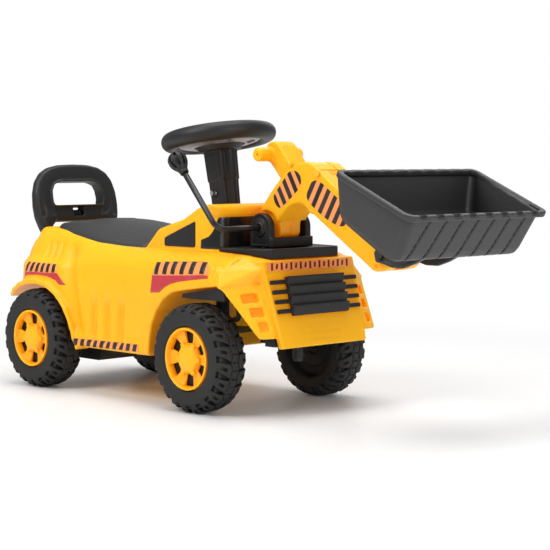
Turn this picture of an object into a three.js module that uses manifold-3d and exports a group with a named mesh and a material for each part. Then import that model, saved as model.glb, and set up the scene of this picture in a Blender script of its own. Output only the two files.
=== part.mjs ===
// Ride-on digger: body, seat and backrest, steering, four wheels, and a loader with a tilting bucket.
// Millimetres, +X forward, +Y left, +Z up. Pieces are drawn in a working frame whose origin is on the
// ground midway between the axles. The group is then moved back by ORIGIN_X, so that the finished
// part's origin is at the middle of its footprint on the ground.
import * as THREE from "three";
import { mergeVertices } from "three/addons/utils/BufferGeometryUtils.js";
import { ConvexGeometry } from "three/addons/geometries/ConvexGeometry.js";
import Module from "manifold-3d";

const wasm = await Module();
wasm.setup();

// ---------- driving dimensions ----------
const ORIGIN_X = 146.72; // footprint middle, ahead of mid wheelbase
const WHEEL_R = 72; // over the lugs
const TYRE_HALF_W = 24.9;
const AXLE_X = 174.7; // half the wheelbase
const TRACK = 111.8; // half the track, wheel centre to middle plane
const WALL = 3.2; // moulded body wall
const KINGPIN_Y = 70;
const STEER_ARM = 25; // knuckle arm and crank arm
const COLUMN_TILT = 9.5; // degrees, top leans to the rider
const COLUMN_AT = [93, 337]; // X and Z of a point on the steering axis
const STEER_WHEEL_Z = 361;
const STEER_WHEEL_R = 80;
const BOOM_HALF_W = 27;
const YOKE_HALF_W = 37.7;
const YOKE_GAP = 19; // half the gap between the yoke cheeks
const LEVER_Y = -112;
const ACROSS = 140; // half width that clears the whole body

// places as X and Z
const BOOM_PIVOT = [212, 241];
const HANDLE_PIVOT = [308.7, 313.4];
const BUCKET_PIVOT = [425, 214];
const LINK_ARM = [-6.66, -9.98]; // from each pivot to its link pin, parallel on both
const SEAT_HINGE = [34, 230];
const NOSE_TOP = [266, 200.6];
const NOSE_FOOT = [298, 90.5];

// X and distance from the middle plane
const YOKE_SCREW = [212.5, 31];
const BACKREST_SCREW = [-231, 56];

// ---------- materials ----------
const plastic = (color, roughness) =>
  new THREE.MeshStandardMaterial({ color, roughness, metalness: 0 });
const materials = {
  yellow: plastic(0xffc322, 0.42),
  black: plastic(0x2b2b2c, 0.5),
  gloss: plastic(0x1d1e20, 0.25),
  tyre: plastic(0x262626, 0.65),
  grey: plastic(0x4a4b4d, 0.45),
  steel: new THREE.MeshStandardMaterial({ color: 0xb9bcc0, roughness: 0.3, metalness: 1 }),
  rod: new THREE.MeshStandardMaterial({ color: 0x1a1a1b, roughness: 0.3, metalness: 0.6 }),
};

// ---------- outlines ----------
const radians = (degrees) => (degrees * Math.PI) / 180;
const toVector = ([x, y]) => new THREE.Vector2(x, y);
const ring = (cx, cy, radius, count, start = 0) =>
  Array.from({ length: count }, (_, i) => {
    const angle = start + (2 * Math.PI * i) / count;
    return [cx + radius * Math.cos(angle), cy + radius * Math.sin(angle)];
  });
// [y, z] points on the other side of the middle plane, in reverse order to carry an outline on
const mirrored = (points) => points.map(([y, z]) => [-y, z]).reverse();
const flipY = (points) => points.map(([x, y, z]) => [x, -y, z]);
// each [x, y, z] point followed by its mirror image
const withTwins = (points) => points.flatMap((point) => [point, ...flipY([point])]);
const sideName = (side) => (side > 0 ? "left" : "right");

function shapeOf(points, holes = []) {
  const outline = points.map(toVector);
  if (THREE.ShapeUtils.isClockWise(outline)) outline.reverse();
  const shape = new THREE.Shape(outline);
  for (const hole of holes) shape.holes.push(new THREE.Path(hole.map(toVector)));
  return shape;
}

// ---------- solids ----------
function manifold(geometry) {
  let merged = geometry.clone();
  merged.deleteAttribute("normal");
  merged.deleteAttribute("uv");
  merged = mergeVertices(merged, 1e-4);
  return new wasm.Manifold(
    new wasm.Mesh({
      numProp: 3,
      vertProperties: new Float32Array(merged.attributes.position.array),
      triVerts: new Uint32Array(merged.index.array),
    }),
  );
}
const union = (solids) => solids.reduce((a, b) => a.add(b));
const extrude = (points, depth, holes) =>
  new THREE.ExtrudeGeometry(shapeOf(points, holes), { depth, bevelEnabled: false });

// [x, z] outline pushed out from y0 to y1
const prismXZ = (points, y0, y1) =>
  manifold(extrude(points, y1 - y0).rotateX(Math.PI / 2).translate(0, y1, 0));
const prismAcross = (points) => prismXZ(points, -ACROSS, ACROSS);
// the same on one side (1 left, -1 right), between two distances from the middle plane
const prismSide = (points, side, near, far) =>
  side > 0 ? prismXZ(points, near, far) : prismXZ(points, -far, -near);
const prismPair = (points, near, far) =>
  prismSide(points, 1, near, far).add(prismSide(points, -1, near, far));
const prismXY = (points, z0, z1) => manifold(extrude(points, z1 - z0).translate(0, 0, z0));
const TO_YZ = new THREE.Matrix4().set(0, 0, 1, 0, 1, 0, 0, 0, 0, 1, 0, 0, 0, 0, 0, 1);
const prismYZ = (points, x0, x1) =>
  manifold(extrude(points, x1 - x0).applyMatrix4(TO_YZ).translate(x0, 0, 0));

function box(x0, x1, y0, y1, z0, z1) {
  const geometry = new THREE.BoxGeometry(x1 - x0, y1 - y0, z1 - z0);
  return manifold(geometry.translate((x0 + x1) / 2, (y0 + y1) / 2, (z0 + z1) / 2));
}
const hull = (points) =>
  manifold(new ConvexGeometry(points.map((point) => new THREE.Vector3(...point))));
const hullPair = (points) => hull(points).add(hull(flipY(points)));

// turns a geometry drawn along Y to lie along a unit direction
function aimed(geometry, direction) {
  const yAxis = new THREE.Vector3(0, 1, 0);
  return geometry.applyQuaternion(new THREE.Quaternion().setFromUnitVectors(yAxis, direction));
}
// cylinder between two points
function rod(from, to, radius, segments = 10) {
  const direction = new THREE.Vector3(...to).sub(new THREE.Vector3(...from));
  const length = direction.length();
  const cylinder = new THREE.CylinderGeometry(radius, radius, length, segments);
  cylinder.translate(0, length / 2, 0);
  return manifold(aimed(cylinder, direction.normalize()).translate(...from));
}
const barY = ([x, z], y0, y1, radius, segments = 12) =>
  rod([x, y0, z], [x, y1, z], radius, segments);
const barZ = ([x, y], z0, z1, radius, segments = 10) =>
  rod([x, y, z0], [x, y, z1], radius, segments);

// [radius, height] profile turned about Y; one that starts off the axis is closed into a ring
function lathe(profile, segments, place = (geometry) => geometry) {
  const points = profile[0][0] > 0 ? [...profile, profile[0]] : profile;
  const build = (list) =>
    manifold(place(new THREE.LatheGeometry(list.map(toVector), segments)));
  const solid = build(points);
  return solid.volume() < 0 ? build([...points].reverse()) : solid;
}
const latheUp = (profile, segments) =>
  lathe(profile, segments, (geometry) => geometry.rotateX(Math.PI / 2));

// path through given points, for a swept section
class Run extends THREE.Curve {
  constructor(points) {
    super();
    this.points = points;
  }
  indexAt(t) {
    return Math.round(t * (this.points.length - 1));
  }
  getPoint(t) {
    return this.points[this.indexAt(t)].clone();
  }
  getSpacedPoints() {
    return this.points;
  }
  getTangentAt(t) {
    const { points } = this;
    const i = this.indexAt(t);
    const tangent = new THREE.Vector3();
    if (i > 0) tangent.add(points[i].clone().sub(points[i - 1]).normalize());
    if (i < points.length - 1) tangent.add(points[i + 1].clone().sub(points[i]).normalize());
    return tangent.normalize();
  }
}
// round bar along straight runs with rounded corners; each bend starts `bend` from its corner
function bentRod(corners, radius, bend, segments) {
  const points = corners.map((corner) => new THREE.Vector3(...corner));
  const towards = (from, to) => from.clone().add(to.clone().sub(from).setLength(bend));
  const run = [points[0]];
  for (let i = 1; i < points.length - 1; i++) {
    const corner = points[i];
    const curve = new THREE.QuadraticBezierCurve3(
      towards(corner, points[i - 1]), corner, towards(corner, points[i + 1]),
    );
    for (const t of [0, 0.33, 0.67, 1]) run.push(curve.getPoint(t));
  }
  run.push(points[points.length - 1]);
  return manifold(new THREE.ExtrudeGeometry(shapeOf(ring(0, 0, radius, segments)), {
    steps: run.length - 1,
    extrudePath: new Run(run),
    bevelEnabled: false,
  }));
}
// skin over stations { x, half }, where half is the left side of the section as [y, z] points.
// A plain tube with one corner per section point is extruded, then each corner is put in place.
function loft(stations) {
  const rows = stations.map(({ half }) => [...half, ...mirrored(half)]);
  const count = rows[0].length;
  const steps = stations.length - 1;
  const start = 0.001;
  const tube = new THREE.ExtrudeGeometry(shapeOf(ring(0, 0, 100, count, start)), {
    depth: steps,
    steps,
    bevelEnabled: false,
  });
  const position = tube.attributes.position;
  for (let i = 0; i < position.count; i++) {
    const station = Math.round(position.getZ(i));
    const angle = Math.atan2(position.getY(i), position.getX(i)) - start;
    const corner = (Math.round((angle / (2 * Math.PI)) * count) + count) % count;
    position.setXYZ(i, stations[station].x, ...rows[station][corner]);
  }
  return manifold(tube);
}

// screw standing up from z, head below
const screwUp = (at, z, length) =>
  barZ(at, z, z + 2.2, 4.2, 12).add(barZ(at, z + 2.1, z + length, 1.7));
// pin along Y from y0 to y1, with its head at the right-hand end
function headedPin(at, y0, y1, { radius, headRadius, headLength = 1.8, segments = 12 }) {
  const head = barY(at, y0 - headLength, y0 + 0.1, headRadius);
  return barY(at, y0, y1, radius, segments).add(head);
}

const root = new THREE.Group();
root.position.x = -ORIGIN_X;
function add(name, solid, material) {
  const { vertProperties, triVerts } = solid.getMesh();
  const geometry = new THREE.BufferGeometry();
  const positions = new THREE.BufferAttribute(new Float32Array(vertProperties), 3);
  geometry.setAttribute("position", positions);
  geometry.setIndex(new THREE.BufferAttribute(new Uint32Array(triVerts), 1));
  geometry.computeVertexNormals();
  const mesh = new THREE.Mesh(geometry, materials[material]);
  mesh.name = name;
  root.add(mesh);
}

// ---------- steering axis ----------
const COLUMN_ANGLE = radians(COLUMN_TILT);
const onColumn = (z) => [COLUMN_AT[0] - (z - COLUMN_AT[1]) * Math.tan(COLUMN_ANGLE), 0, z];
const STEER_CENTRE = onColumn(STEER_WHEEL_Z);
// puts a solid drawn upright at the origin on the steering axis at the wheel's centre
const atSteerWheel = (solid) => solid.rotate([0, -COLUMN_TILT, 0]).translate(STEER_CENTRE);

// ---------- body shell ----------
// half widths of the body: rows are stations along X, columns the heights in LEVELS
const LEVELS = [58, 150, 181, 186, 198, 214, 236, 300];
const STATIONS = [
  [-262, [64, 72, 72, 70, 68, 64, 60, 60]],
  [-252, [98, 108, 106, 98, 92, 82, 75, 73]],
  [-236, [112, 120, 117, 106, 99, 90, 80, 77]],
  [-205, [121, 124, 119, 108, 101, 94, 82, 79]],
  [-150, [121, 124, 119, 110, 104, 97, 84, 79]],
  [-60, [121, 118, 114, 113, 107, 93, 78, 73]],
  [0, [121, 118, 115, 114, 108, 90, 76, 71]],
  [110, [121, 122, 121, 120, 114, 89, 78, 74]],
  [205, [121, 126, 121, 118, 109, 86, 76, 74]],
  [226, [121, 127, 121, 118, 108, 82, 76, 74]],
];
// the same for the hollow, before the wall is taken off
const INNER_LEVELS = [58, 150, 186, 214, 300];
const INNER_STATIONS = [
  [-256, [92, 100, 92, 78, 68]],
  [-205, [120, 122, 107, 92.5, 76]],
  [-60, [120.4, 117, 111, 92, 71]],
  [0, [120.4, 117, 112, 88.5, 69]],
  [222.5, [120.4, 122, 116, 84, 72]],
];
// side outline of the lower body and of its hollow, [x, z]
const SIDE = [
  [-248, 133], [-256, 150], [-256, 177], [-249, 179], [-249, 195], [-242, 197], [-242, 213.5],
  [-222, 214], [-221, 226], [-214, 232], [-156, 229.5], [-110, 222], [-65, 215], [0, 211],
  [36, 209.5], [150, 212], [232, 205.5], NOSE_TOP, NOSE_FOOT, [292, 88], [232, 66], [-248, 66],
];
const SIDE_IN = [
  [-240, 120], [-252, 150], [-252, 174], [-245, 176], [-245, 192], [-238, 194], [-238, 210],
  [-218, 210.5], [-212, 227], [-156, 225.8], [-65, 211.3], [0, 207.4], [36, 206], [150, 208],
  [232, 201.6], [262.5, 197], [294, 89], [292, 50], [232, 50], [-240, 50],
];
// wheel arches, [x, z]: the opening, then the outside of the wall around it
const FRONT_ARCH = [
  [77.5, 40], [82, 88], [87, 110], [97, 129], [113, 146], [132.5, 156], [180, 163], [226, 169],
  [238, 165], [284, 103], [289, 84], [289, 40],
];
const FRONT_ARCH_OUT = [
  [74, 40], [78.5, 89], [84, 112], [94.5, 131.5], [111, 149], [131.5, 159.3], [180, 166.5],
  [227, 172.5], [241, 168], [288, 104.5], [292.8, 84], [292.8, 40],
];
const REAR_ARCH = [
  [-83, 40], [-86, 68], [-95, 97], [-106, 118], [-124, 136], [-148, 147], [-174, 149.5],
  [-200, 147.5], [-224, 141], [-262, 124], [-300, 118], [-300, 40],
];
const REAR_ARCH_OUT = [
  [-79.5, 40], [-82.5, 68], [-91.6, 98], [-103, 120.3], [-122, 139], [-147, 150.4], [-174, 153],
  [-201, 151], [-248, 135.6], [-300, 130], [-300, 40],
];
// left half of the nose and its hollow, [x, y, z]
const NOSE = [
  [180, 84, 207], [266, 84, 200.6], [298, 77.2, 90.5], [285, 77, 88], [180, 84, 88],
];
const NOSE_IN = [
  [190, 80.5, 201.5], [262.6, 80.5, 196.8], [294.2, 74, 88], [294, 74, 60], [190, 80.5, 60],
];
// left front fender block, its hollow and the ladder leg below it, [x, y, z]
const FENDER = [
  [200, 60, 205], [262, 66, 201], [205, 116, 193], [256, 109, 189], [258, 100, 173],
  [226, 121, 190], [205, 126, 168], [238, 132, 169], [200, 60, 165], [205, 124, 160],
  [262, 66, 165],
];
const FENDER_IN = [
  [198, 60, 200], [256, 62, 197], [205, 113, 190], [250, 106, 185], [222, 117, 186],
  [205, 121, 174], [234, 126, 175], [198, 60, 174], [252, 96, 174], [252, 62, 174],
];
const LADDER_LEG = [
  [236, 132, 169], [257, 98, 171], [266, 80, 171], [285, 108, 103], [293, 85, 104],
  [290, 78, 104], [218, 120, 169], [222, 132, 166], [277, 108, 103], [220, 80, 169],
  [277, 80, 103],
];
// cowl ahead of the seat and its hollow, [x, z]
const COWL = [
  [30, 200], [34, 209.6], [49, 224.4], [62, 237.1], [88, 244.5], [113, 250.9], [142, 266.3],
  [156, 271], [170, 272.5], [178, 269], [181, 257], [182, 195], [30, 195],
];
const COWL_IN = [
  [36, 190], [40, 205], [52, 221], [64, 233.5], [114, 247.2], [143, 262.6], [157, 267.4],
  [169, 268.8], [174.8, 266.5], [178, 190],
];
const COWL_CORNER = 26; // plan radius of the front corners
const COWL_HALF_W = 90;
const COWL_REAR = 20;
const COWL_FRONT = 182;
const WINDOW_RECESS = [[76, 214], [76, 226], [140, 250], [140, 214]];
const WINDOW_PANE = [[76.4, 214.4], [76.4, 225.7], [139.6, 249.4], [139.6, 214.4]];
const WINDOW_OPENING = [[80, 217], [80, 224.5], [136.5, 245.6], [136.5, 217]];
const TRAY = { x: [-186, -12], y: [-58, 58], z: [157, 240] }; // storage under the seat
const TRAY_WALL = 3;
const HINGE_LUG = [
  [29, 224], [29, 233], [33, 236.5], [38, 236.5], [58, 238], [70, 236], [52, 222], [40, 211],
];
const HINGE_GAP = 11.5; // half the gap between the hinge lugs
const hingeBore = () => barY(SEAT_HINGE, -24, 24, 3.1);

const bodyLoft = (stations, levels, inset) =>
  loft(stations.map(([x, widths]) => ({
    x,
    half: widths.map((width, i) => [width - inset, levels[i]]),
  })));

// plan of the cowl: square at the rear, rounded front corners
function cowlPlan(radius, halfWidth, rear, front) {
  const arc = [0, 1, 2, 3].map((i) => (i * Math.PI) / 6);
  const x = front - radius;
  const y = halfWidth - radius;
  return [
    [rear, -halfWidth],
    [x, -halfWidth],
    ...arc.map((angle) => [x + radius * Math.sin(angle), -y - radius * Math.cos(angle)]),
    ...arc.map((angle) => [x + radius * Math.cos(angle), y + radius * Math.sin(angle)]),
    [rear, halfWidth],
  ];
}
// block with the cowl's sides, which lean in towards the top
function cowlTaper({ low, topRear, topFront, front, bottom }) {
  const left = [
    [20, low, bottom], [front, low, bottom], [20, topRear, 275], [front, topFront, 275],
  ];
  return hull([...left, ...flipY(left)]);
}
const cowlBlock = () => cowlTaper({ low: 90, topRear: 86, topFront: 84, front: 190, bottom: 190 });

const cowlOuter = () =>
  prismXZ(COWL, -95, 95)
    .intersect(prismXY(cowlPlan(COWL_CORNER, COWL_HALF_W, COWL_REAR, COWL_FRONT), 180, 290))
    .intersect(cowlBlock());
const cowlInner = () =>
  prismXZ(COWL_IN, -95, 95)
    .intersect(prismXY(cowlPlan(23, 87, COWL_REAR, 178.6), 180, 290))
    .intersect(cowlTaper({ low: 86.5, topRear: 82.6, topFront: 80.6, front: 190, bottom: 180 }));

// one pair of ladder steps pressed into the legs, counted from the top
function ladderStep(i) {
  const top = 9 + i * 16; // down the leg
  const inner = 91 - i * 0.6;
  const outer = 112 - i * 4.2;
  const corners = [];
  for (const down of [top, top + 11.5]) {
    for (const out of [-5.5, 8]) {
      const x = 254.5 + (36 / 77) * down + out * 0.86;
      const z = 169 - (68 / 77) * down + out * 0.45;
      corners.push([x, inner, z], [x - (outer - inner) * 0.42, outer, z]);
    }
  }
  return hullPair(corners);
}

function bodyCavity() {
  const { x, y, z } = TRAY;
  return bodyLoft(INNER_STATIONS, INNER_LEVELS, WALL)
    .intersect(prismAcross(SIDE_IN))
    .add(hull(withTwins(NOSE_IN)))
    .add(hullPair(FENDER_IN))
    .subtract(prismAcross(FRONT_ARCH_OUT))
    .subtract(prismAcross(REAR_ARCH_OUT))
    .add(cowlInner())
    .subtract(box(
      x[0] - TRAY_WALL, x[1] + TRAY_WALL, y[0] - TRAY_WALL, y[1] + TRAY_WALL,
      z[0] - TRAY_WALL, z[1],
    ));
}

// band around the cowl's front where the windscreen sits
const screenRecess = () =>
  prismXY(cowlPlan(30, 96, 150.5, 190), 212.5, 256)
    .subtract(prismXY(cowlPlan(23.5, 86.8, 0, 179), 200, 300));

function bodyShell() {
  let body = bodyLoft(STATIONS, LEVELS, 0)
    .intersect(prismAcross(SIDE))
    .add(hull(withTwins(NOSE)))
    .add(hullPair(FENDER))
    .add(hullPair(LADDER_LEG))
    .add(cowlOuter())
    .subtract(bodyCavity())
    .subtract(prismAcross(FRONT_ARCH))
    .subtract(prismAcross(REAR_ARCH))
    .subtract(box(...TRAY.x, ...TRAY.y, ...TRAY.z));
  for (let i = 0; i < 4; i++) body = body.subtract(ladderStep(i));
  body = body
    .subtract(screenRecess())
    // the side openings go right through, the panes close them from outside
    .subtract(prismXZ(WINDOW_OPENING, -96, 96))
    .subtract(prismPair(WINDOW_RECESS, 85.9, 96))
    // steering rod hole, and a wider opening for the column's foot
    .subtract(rod(onColumn(120), onColumn(300), 7, 16))
    .subtract(rod(onColumn(225), onColumn(300), 24.5, 24))
    .add(prismPair(HINGE_LUG, HINGE_GAP, 19))
    .subtract(hingeBore())
    .subtract(box(20, 46, -HINGE_GAP, HINGE_GAP, 215, 242));
  // clearance holes for the yoke and backrest screws
  for (const side of [-1, 1]) {
    body = body
      .subtract(barZ([YOKE_SCREW[0], side * YOKE_SCREW[1]], 196, 212, 2.2))
      .subtract(barZ([BACKREST_SCREW[0], side * BACKREST_SCREW[1]], 206, 220, 2.2));
  }
  return body;
}
add("body_shell", bodyShell(), "yellow");

// ---------- windows ----------
for (const side of [-1, 1]) {
  const pane = prismSide(WINDOW_PANE, side, 86.2, 88.2).intersect(cowlBlock());
  add(`side_window_${sideName(side)}`, pane, "gloss");
}
const windscreen = () =>
  prismXY(cowlPlan(25.6, 88.4, 151, 181.6), 213, 255.5)
    .subtract(prismXY(cowlPlan(23.6, 87.1, 0, 179.3), 200, 300))
    .intersect(cowlTaper({ low: 89.4, topRear: 85.6, topFront: 84.6, front: 200, bottom: 190 }));
add("windscreen", windscreen(), "gloss");

// ---------- grille ----------
const BAR_TOP = 173.4; // height of the uppermost bar's middle
const BAR_HEIGHTS = [BAR_TOP, 161, 148.7, 136.5];
const BAR_HALF_H = 2.7;
const LOUVRE_TOP = 179.5;
const LOUVRE_BOTTOM = 130;
const LOUVRE_PITCH = 12.3;

// point on the sloping front of the nose at height z, stood off along its normal
const onNose = (z, off) => [
  NOSE_TOP[0] + ((NOSE_TOP[1] - z) * (NOSE_FOOT[0] - NOSE_TOP[0])) / (NOSE_TOP[1] - NOSE_FOOT[1])
    + off * 0.96,
  z + off * 0.28,
];
function grilleBar(z) {
  const low = z - BAR_HALF_H;
  const high = z + BAR_HALF_H;
  const halfWidth = 79 - (BAR_TOP - z) * 0.08;
  const section = [onNose(low, 0.4), onNose(high, 0.4), onNose(high, 3.4), onNose(low, 3.4)];
  return prismXZ(section, -halfWidth, halfWidth);
}
function louvreBlock() {
  const section = [onNose(LOUVRE_BOTTOM, 0.4), onNose(LOUVRE_TOP, 0.4), onNose(LOUVRE_TOP, 6)];
  for (let i = 0; i < 4; i++) {
    const top = LOUVRE_TOP - i * LOUVRE_PITCH;
    section.push(onNose(top - 1, 8), onNose(top - 9.5, 8));
    section.push(onNose(top - 10.3, 5.2), onNose(top - 12, 5.2));
  }
  section.push(onNose(LOUVRE_BOTTOM, 6));
  return prismXZ(section, -52, 52);
}
add("grille", union(BAR_HEIGHTS.map(grilleBar)).add(louvreBlock()), "black");

// ---------- deck plate and boom yoke ----------
const [BOOM_PIVOT_X, BOOM_PIVOT_Z] = BOOM_PIVOT;
const DECK_TOP = 215.2;
const DECK_PLAN = [ // [x, y]
  [150, -84.6], [176.8, -80], [254, -66.6], [260, -60],
  [260, 60], [254, 66.6], [176.8, 80], [150, 84.6],
];
const DECK_SECTION = [ // [x, z]
  [170, 210.9], [183.6, 210], [232, 206.2], [262, 202.2], [262, DECK_TOP], [170, DECK_TOP],
];
const COWL_CLEARANCE = 0.8;

function deckPlate() {
  const cowlRoom = cowlPlan(
    COWL_CORNER + COWL_CLEARANCE, COWL_HALF_W + COWL_CLEARANCE,
    COWL_REAR, COWL_FRONT + COWL_CLEARANCE,
  );
  let plate = prismXY(DECK_PLAN, 195, 230)
    .intersect(prismXZ(DECK_SECTION, -86, 86))
    .subtract(prismXY(cowlRoom, 190, 230));
  for (const side of [-1, 1]) {
    plate = plate.subtract(barZ([YOKE_SCREW[0], side * YOKE_SCREW[1]], 190, 230, 2.6));
  }
  return plate;
}
add("deck_plate", deckPlate(), "black");

function boomYoke() {
  const foot = 215.6;
  const cheekR = 19.5;
  const cheek = [[193, foot], [232, foot]];
  for (let i = 0; i <= 8; i++) {
    const angle = (i * Math.PI) / 8;
    cheek.push([
      BOOM_PIVOT_X + 0.5 + cheekR * Math.cos(angle),
      BOOM_PIVOT_Z + cheekR * Math.sin(angle),
    ]);
  }
  let yoke = prismXZ(cheek, -YOKE_HALF_W, YOKE_HALF_W)
    .subtract(box(180, 240, -YOKE_GAP, YOKE_GAP, 218.6, 280))
    .add(box(230, 236.4, -YOKE_HALF_W, YOKE_HALF_W, foot, 228.6))
    .subtract(barY(BOOM_PIVOT, -50, 50, 4.3, 16));
  for (const side of [-1, 1]) {
    yoke = yoke.subtract(barZ([YOKE_SCREW[0], side * YOKE_SCREW[1]], 205, 228, 1.9));
  }
  return yoke;
}
add("boom_yoke", boomYoke(), "black");
// the yoke screws come up from inside the body
for (const side of [-1, 1]) {
  const screw = screwUp([YOKE_SCREW[0], side * YOKE_SCREW[1]], 200.2, 26);
  add(`yoke_screw_${sideName(side)}`, screw, "steel");
}

// ---------- seat ----------
// saddle: a crowned top narrowing forward, flanks draping to the body edge. Columns: x, crown z,
// top half width, top edge z, flank half width, flank z, shift in x of the hollow's station
const SEAT = [
  [-200, 236, 40, 234, 52, 233, 3],
  [-196, 239, 58, 236, 66, 232.9, 2],
  [-184, 241, 66, 238, 76, 232.3, 2],
  [-160, 243, 68, 239, 84, 230.6, 0],
  [-130, 244, 66, 239, 88, 226.2, 0],
  [-90, 242, 60, 236, 90, 219.8, 0],
  [-50, 238, 54, 231, 91, 214.6, 0],
  [-15, 234, 50, 227.5, 91, 212.6, 0],
  [12, 232, 46, 226, 89, 211.6, 0],
  [28, 231, 42, 225.4, 87.4, 210.8, -3.4],
];
const SEAT_TONGUE = [ // hinge tongue at the front, [x, z]
  [14, 226.5], [14, 231.5], [24, 234], [30, 235], [36, 234.8], [38.5, 231], [38.5, 228],
  [36, 225.4], [30, 225],
];
const seatStation = (x, crownZ, topY, topZ, flankY, flankZ) => ({
  x,
  half: [
    [flankY, flankZ],
    [flankY, flankZ + 1.2],
    [(topY + flankY) / 2, (topZ + flankZ) / 2 + 3.4],
    [topY, topZ],
    [topY * 0.5, crownZ - 0.8],
  ],
});
function seat() {
  const hollow = SEAT.map(([x, crownZ, topY, topZ, flankY, flankZ, shift]) =>
    seatStation(x + shift, crownZ - 3.2, topY - 3, topZ - 3.2, flankY - 3.4, flankZ - 6));
  return loft(SEAT.map((row) => seatStation(...row)))
    .subtract(loft(hollow))
    .subtract(box(26.5, 60, -22, 22, 200, 245))
    .add(prismXZ(SEAT_TONGUE, -11, 11))
    .subtract(hingeBore());
}
add("seat", seat(), "black");
add("seat_hinge_pin", barY(SEAT_HINGE, -20, 20, 2.6), "steel");

// ---------- backrest and push handle ----------
const BACKREST_TILT = 9.5; // degrees, top leans back
const BACKREST_DEPTH = 22;
// [y, z]: right-hand edge going up, left half of the notched foot, right half of the grip hole
const BACKREST_EDGE = [
  [-62, 215], [-76, 240], [-77, 262], [-75, 285], [-68, 303], [-54, 316], [-34, 323], [-12, 325],
];
const BACKREST_FOOT = [[50, 215], [46, 232], [9, 236], [9, 243]];
const GRIP_HOLE = [[-44, 262], [-47, 272], [-46, 288], [-38, 297]];

function backrest() {
  const withMirror = (points) => [...points, ...mirrored(points)];
  const outline = [...withMirror(BACKREST_EDGE), ...withMirror(BACKREST_FOOT)];
  const slab = extrude(outline, BACKREST_DEPTH, [withMirror(GRIP_HOLE)])
    .applyMatrix4(TO_YZ)
    .translate(-BACKREST_DEPTH / 2, 0, -214)
    .rotateY(-radians(BACKREST_TILT))
    .translate(-236.5, 0, 215.5);
  let back = manifold(slab).intersect(box(-300, -222.6, -90, 90, 214.4, 400));
  for (const side of [-1, 1]) {
    back = back.subtract(barZ([BACKREST_SCREW[0], side * BACKREST_SCREW[1]], 205, 232, 1.9));
  }
  return back;
}
add("backrest", backrest(), "black");
for (const side of [1, -1]) {
  const screw = screwUp([BACKREST_SCREW[0], side * BACKREST_SCREW[1]], 206.9, 24);
  add(`backrest_screw_${sideName(side)}`, screw, "steel");
}

// ---------- steering wheel ----------
// drawn upright about the origin, which is the wheel's centre; profiles are [radius, height]
const GRIP_R = 12; // section radius of the rim
const HUB = [[0, -5], [30, -5], [32, 0], [30, 8], [26, 10.5], [0, 10.5]];
const BUTTON_WELL = [[0, 2.5], [16.5, 2.5], [16.5, 20], [0, 20]];
const HUB_BORE = [[0, -20], [4.45, -20], [4.45, 3.5], [0, 3.5]]; // the rod passes up into the hub
const SPOKE = [[18, -13, 7], [62, -10, 6], [18, -13, -3], [62, -10, -3]]; // [x, y, z], one side
const UNDERSIDE = [[24, -5.6], [30.8, -5.6], [44, -9.5], [44, -12.5], [24, -12.5]];
const BUTTON = [
  [0, 8.5], [12, 8.5], [12, 6.2], [15.8, 6.2], [15.8, 12.5], [14, 14.5], [8, 15.8], [0, 15.8],
];

function steeringWheel() {
  const grip = ring(STEER_WHEEL_R - GRIP_R, 0, GRIP_R, 6).map(([r, h]) => [r, h * 1.02]);
  let wheel = latheUp(grip, 24).add(latheUp(HUB, 14));
  for (const angle of [0, 125, 235]) {
    wheel = wheel.add(hull(withTwins(SPOKE)).rotate([0, 0, angle]));
  }
  return wheel.subtract(latheUp(BUTTON_WELL, 12)).subtract(latheUp(HUB_BORE, 8));
}
// helix under the horn button
function hornSpring() {
  const turns = 2;
  const coilR = 7;
  const bottom = 3.3;
  const top = 8;
  const steps = turns * 10;
  const points = [];
  for (let i = 0; i <= steps; i++) {
    const angle = (i / 10) * 2 * Math.PI;
    const height = bottom + ((top - bottom) * i) / steps;
    points.push(new THREE.Vector3(coilR * Math.cos(angle), coilR * Math.sin(angle), height));
  }
  return manifold(new THREE.ExtrudeGeometry(shapeOf(ring(0, 0, 0.55, 4)), {
    steps,
    extrudePath: new THREE.CatmullRomCurve3(points),
    bevelEnabled: false,
  }));
}
add("steering_wheel", atSteerWheel(steeringWheel()), "black");
add("wheel_underside", atSteerWheel(latheUp(UNDERSIDE, 16)), "grey");
add("horn_button", atSteerWheel(latheUp(BUTTON, 12)), "black");
add("horn_spring", atSteerWheel(hornSpring()), "steel");

// ---------- steering column and rod ----------
// heights along the column from the wheel's centre
const COLUMN_TOP = -13;
const COLUMN_FOOT = -129;
const CROSS_SCREW = [-3, -77]; // x and height of the screw across the column

// rounded box with a half round rib in front
function columnSection(halfWidth, halfDepth, rib) {
  const corner = 5;
  const left = [[halfDepth, halfWidth - corner], [halfDepth - 4, halfWidth],
    [-halfDepth + corner, halfWidth], [-halfDepth, halfWidth - corner]];
  const ribArc = [-3, -2, -1, 0, 1, 2, 3].map((i) => {
    const angle = (i * Math.PI) / 6;
    return [halfDepth + rib * Math.cos(angle) * 0.95, rib * Math.sin(angle)];
  });
  return [...left.map(([x, y]) => [x, -y]).reverse(), ...ribArc, ...left];
}
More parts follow.
